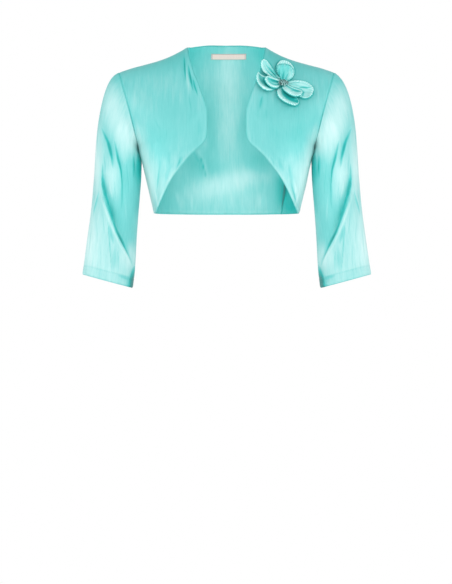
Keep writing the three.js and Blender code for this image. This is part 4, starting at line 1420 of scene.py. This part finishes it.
class BOLERO_OT_flower(bpy.types.Operator):
    """Folds the flower's petals and sews its beads on"""

    bl_idname = "bolero.flower"
    bl_label = "Flower"

    def execute(self, context):
        flower = context.scene.bolero_flower
        place = FlowerPlace()
        for petal in PETALS:
            grid, cloth_map, painted_light = petal_grid(petal, place, flower.roll / MM)
            facing = grid_normals_like(grid, place.out)
            thickness = np.full(grid.shape[:2], flower.petal_cloth / MM)
            name, satin = petal["name"], shared_material("pressed_satin")
            piece = make_wall(f"satin_petal_{name}", grid, facing, thickness, cloth_map, painted_light, satin)
            finish_piece(piece, "petal_satin", f"petal_{name}")
        self.sew_beads(flower, place)
        return {"FINISHED"}

    def sew_beads(self, flower, place):
        """The beads: one ring in another, and one in the middle."""
        turn = np.linspace(0, 2 * np.pi, flower.beads, endpoint=False)
        rings = [(turn, 0.92, 0.95, 0.6), (turn[::2] + 0.3, 0.45, 0.4, 2.0)]
        long, short, seat = BEAD_RING["long"], BEAD_RING["short"], BEAD_RING["seat"]
        x = np.concatenate([*(long * wide * np.cos(at) for at, wide, _, _ in rings), [0.0]])
        z = np.concatenate([*(short * tall * np.sin(at) for at, _, tall, _ in rings), [0.4]])
        height = np.concatenate([*(np.full(len(at), seat + up) for at, _, _, up in rings), [seat + 2.9]])
        mesh = bpy.data.meshes.new("bead_places")
        mesh.from_pydata((place.world(x, z, height) * MM).tolist(), [], [])
        metal = shared_material("bead_metal")
        values = {"Radius": flower.bead, "Seed": BEAD_RING["seed"], "Material": metal}
        finish_piece(run_tree("flower_beads", mesh, bead_tree(), values), "beads", "bead_cluster")


def bead_tree():
    """Faceted beads of uneven size, turned at random, on a mesh's points."""
    made = Tree("faceted_beads", Radius=("Float", 0.0021), Seed=("Int", 4))
    source = made.source
    bead = made.node("GeometryNodeMeshIcoSphere", Radius=source["Radius"], Subdivisions=1)

    def random(kind, values):
        """A random value for each bead, between two."""
        values = {**values, "Seed": source["Seed"]}
        return add_node(made.tree, "FunctionNodeRandomValue", {"data_type": kind}, values).outputs

    turned = random("FLOAT_VECTOR", {0: (0, 0, 0), 1: (math.tau, math.tau, math.tau)})[0]
    size = random("FLOAT", {2: 0.86, 3: 1.12})[1]
    return made.scatter(Points=source["Geometry"], Instance=bead["Mesh"], Rotation=turned, Scale=size)


class BOLERO_OT_label(bpy.types.Operator):
    """Sews the bare label inside the back neck"""

    bl_idname = "bolero.label"
    bl_label = "Label"

    def execute(self, context):
        across = LABEL["x"] + LABEL["width"] * (np.linspace(0, 1, LABEL["columns"]) - 0.5)
        down = LABEL["z"] + LABEL["height"] * (0.5 - np.linspace(0, 1, LABEL["rows"]))
        x, z = np.meshgrid(across, down)
        surface = on_form("back", x, z)
        normals = grid_normals(surface)
        normals *= np.sign(normals[..., 1:2])
        side = np.minimum(x - across[0], across[-1] - x)
        top = np.minimum(z - down[-1], down[0] - z)
        round_off = 0.25 * (bell(side, 0.7) + bell(top, 0.6))
        sunk = 0.25 * bell(side, 0.8, LABEL["seam"])
        cloth = context.scene.bolero_cloth.cloth / MM
        inward = cloth + LABEL["off"] + LABEL["cloth"] - round_off - sunk
        face = surface - normals * inward[..., None]
        thickness = np.full(x.shape, LABEL["cloth"])
        # Painted shade round the label's edges and along the seams at its ends.
        painted_label_shade = -1.0 * bell(np.minimum(side, top), 0.6) - 0.5 * bell(side, 0.5, LABEL["seam"])
        weave = shared_material("label_weave")
        cloth_map = np.stack([x, z], axis=-1)
        piece = make_wall("woven_label", face, -normals, thickness, cloth_map, painted_label_shade, weave)
        finish_piece(piece, "label", "neck_label")
        for name, column in LABEL_STITCHES.items():
            line = face[:, column] - normals[:, column] * LABEL["lift"]
            stitch_run(f"label_stitches_{name}", line, False)
        return {"FINISHED"}


class BoleroStage(bpy.types.PropertyGroup):
    """Light on the jacket"""

    lights: FloatProperty(name="Lights", description="Strength of all the soft boxes", default=1.0, min=0)
    ambient: FloatProperty(name="Ambient", description="Light from all round", default=0.58, min=0)
    floor_z: length("Floor", "Height of the floor", -1.4)


class BOLERO_OT_stage(bpy.types.Operator):
    """Sets the floor, the lights, the plain ground and the camera"""

    bl_idname = "bolero.stage"
    bl_label = "Stage"

    def execute(self, context):
        stage = context.scene.bolero_stage
        self.floor(context, stage)
        self.world(context, stage)
        for light in SOFT_BOXES:
            self.light(light, stage.lights)
        self.camera(context)
        return {"FINISHED"}

    def floor(self, context, stage):
        bpy.ops.mesh.primitive_circle_add(vertices=128, radius=2.3, fill_type="NGON", location=(0, 0, 0))
        floor = context.object
        floor.name = "floor"
        for vertex in floor.data.vertices:
            vertex.co.z = stage.floor_z
        shader = Shader("pale_floor")
        grain = shader.mix(shader.noise(shader.place(), 6.0), (0.78, 0.78, 0.78, 1), (0.82, 0.82, 0.82, 1))
        floor.data.materials.append(shader.finish(Base_Color=grain, Roughness=0.7))

    def world(self, context, stage):
        """White where the camera looks, and an even light for the jacket."""
        world = bpy.data.worlds.new("plain_ground")
        context.scene.world = world
        world.use_nodes = True
        tree = world.node_tree
        tree.nodes.clear()
        seen = add_node(tree, "ShaderNodeBackground", values={"Color": (1, 1, 1, 1)})
        even = {"Color": (0.97, 0.985, 1, 1), "Strength": stage.ambient}
        lit = add_node(tree, "ShaderNodeBackground", values=even)
        looks = add_node(tree, "ShaderNodeLightPath").outputs["Is Camera Ray"]
        both = {"Fac": looks, 1: lit.outputs[0], 2: seen.outputs[0]}
        mix = add_node(tree, "ShaderNodeMixShader", values=both)
        add_node(tree, "ShaderNodeOutputWorld", values={"Surface": mix.outputs[0]})
        context.scene.view_settings.view_transform = "Standard"

    def light(self, box, strength):
        """A soft box that faces the jacket. Its power comes from its size and from how bright it looks."""
        azimuth, elevation = math.radians(box["azimuth"]), math.radians(box["elevation"])
        level = math.cos(elevation)
        away = Vector((math.sin(azimuth) * level, -math.cos(azimuth) * level, math.sin(elevation)))
        lamp = bpy.data.lights.new(box["name"], "AREA")
        lamp.shape = "RECTANGLE"
        lamp.size, lamp.size_y = box["width"], box["height"]
        lamp.energy = 4 * box["width"] * box["height"] * box["brightness"] * strength
        light = add_object(box["name"], lamp)
        light.location = Vector(box.get("at", LIT_POINT)) + away * box["distance"]
        light.rotation_euler = (-away).to_track_quat("-Z", "Y").to_euler()
        light.visible_camera = False

    def camera(self, context):
        data = bpy.data.cameras.new("camera")
        camera = add_object("camera", data)
        camera.location = CAMERA["place"]
        camera.rotation_euler = (math.pi / 2, 0, 0)
        data.sensor_width = CAMERA["sensor"]
        data.lens = CAMERA["sensor"] * -CAMERA["place"][1] / CAMERA["frame_height"]
        data.clip_end = 40
        context.scene.camera = camera


class BOLERO_PT_panel(bpy.types.Panel):
    """Lists the jacket's pieces, sizes and colours"""

    bl_idname = "BOLERO_PT_panel"
    bl_label = "Bolero jacket"
    bl_space_type = "VIEW_3D"
    bl_region_type = "UI"
    bl_category = "Bolero"

    def draw(self, context):
        for name in ("bolero_cloth", "bolero_flower", "bolero_finish", "bolero_stage"):
            group = getattr(context.scene, name)
            box = self.layout.box()
            for prop in group.bl_rna.properties.keys():
                if prop not in {"rna_type", "name"}:
                    box.prop(group, prop)
        for operator in OPERATORS:
            self.layout.operator(operator.bl_idname)


GROUPS = {
    "bolero_cloth": BoleroCloth,
    "bolero_flower": BoleroFlower,
    "bolero_finish": BoleroFinish,
    "bolero_stage": BoleroStage,
}
OPERATORS = [
    BOLERO_OT_stage,
    BOLERO_OT_back,
    BOLERO_OT_fronts,
    BOLERO_OT_sleeves,
    BOLERO_OT_label,
    BOLERO_OT_flower,
]


def register():
    for made in (*GROUPS.values(), *OPERATORS, BOLERO_PT_panel):
        bpy.utils.register_class(made)
    for name, group in GROUPS.items():
        setattr(bpy.types.Scene, name, PointerProperty(type=group))


def unregister():
    for name in GROUPS:
        delattr(bpy.types.Scene, name)
    for made in (BOLERO_PT_panel, *reversed(OPERATORS), *GROUPS.values()):
        bpy.utils.unregister_class(made)


def main():
    """Builds the stage and every piece."""
    register()
    bpy.ops.bolero.stage()
    bpy.ops.bolero.back()
    bpy.ops.bolero.fronts()
    bpy.ops.bolero.sleeves()
    bpy.ops.bolero.label()
    bpy.ops.bolero.flower()


if __name__ == "__main__":
    main()
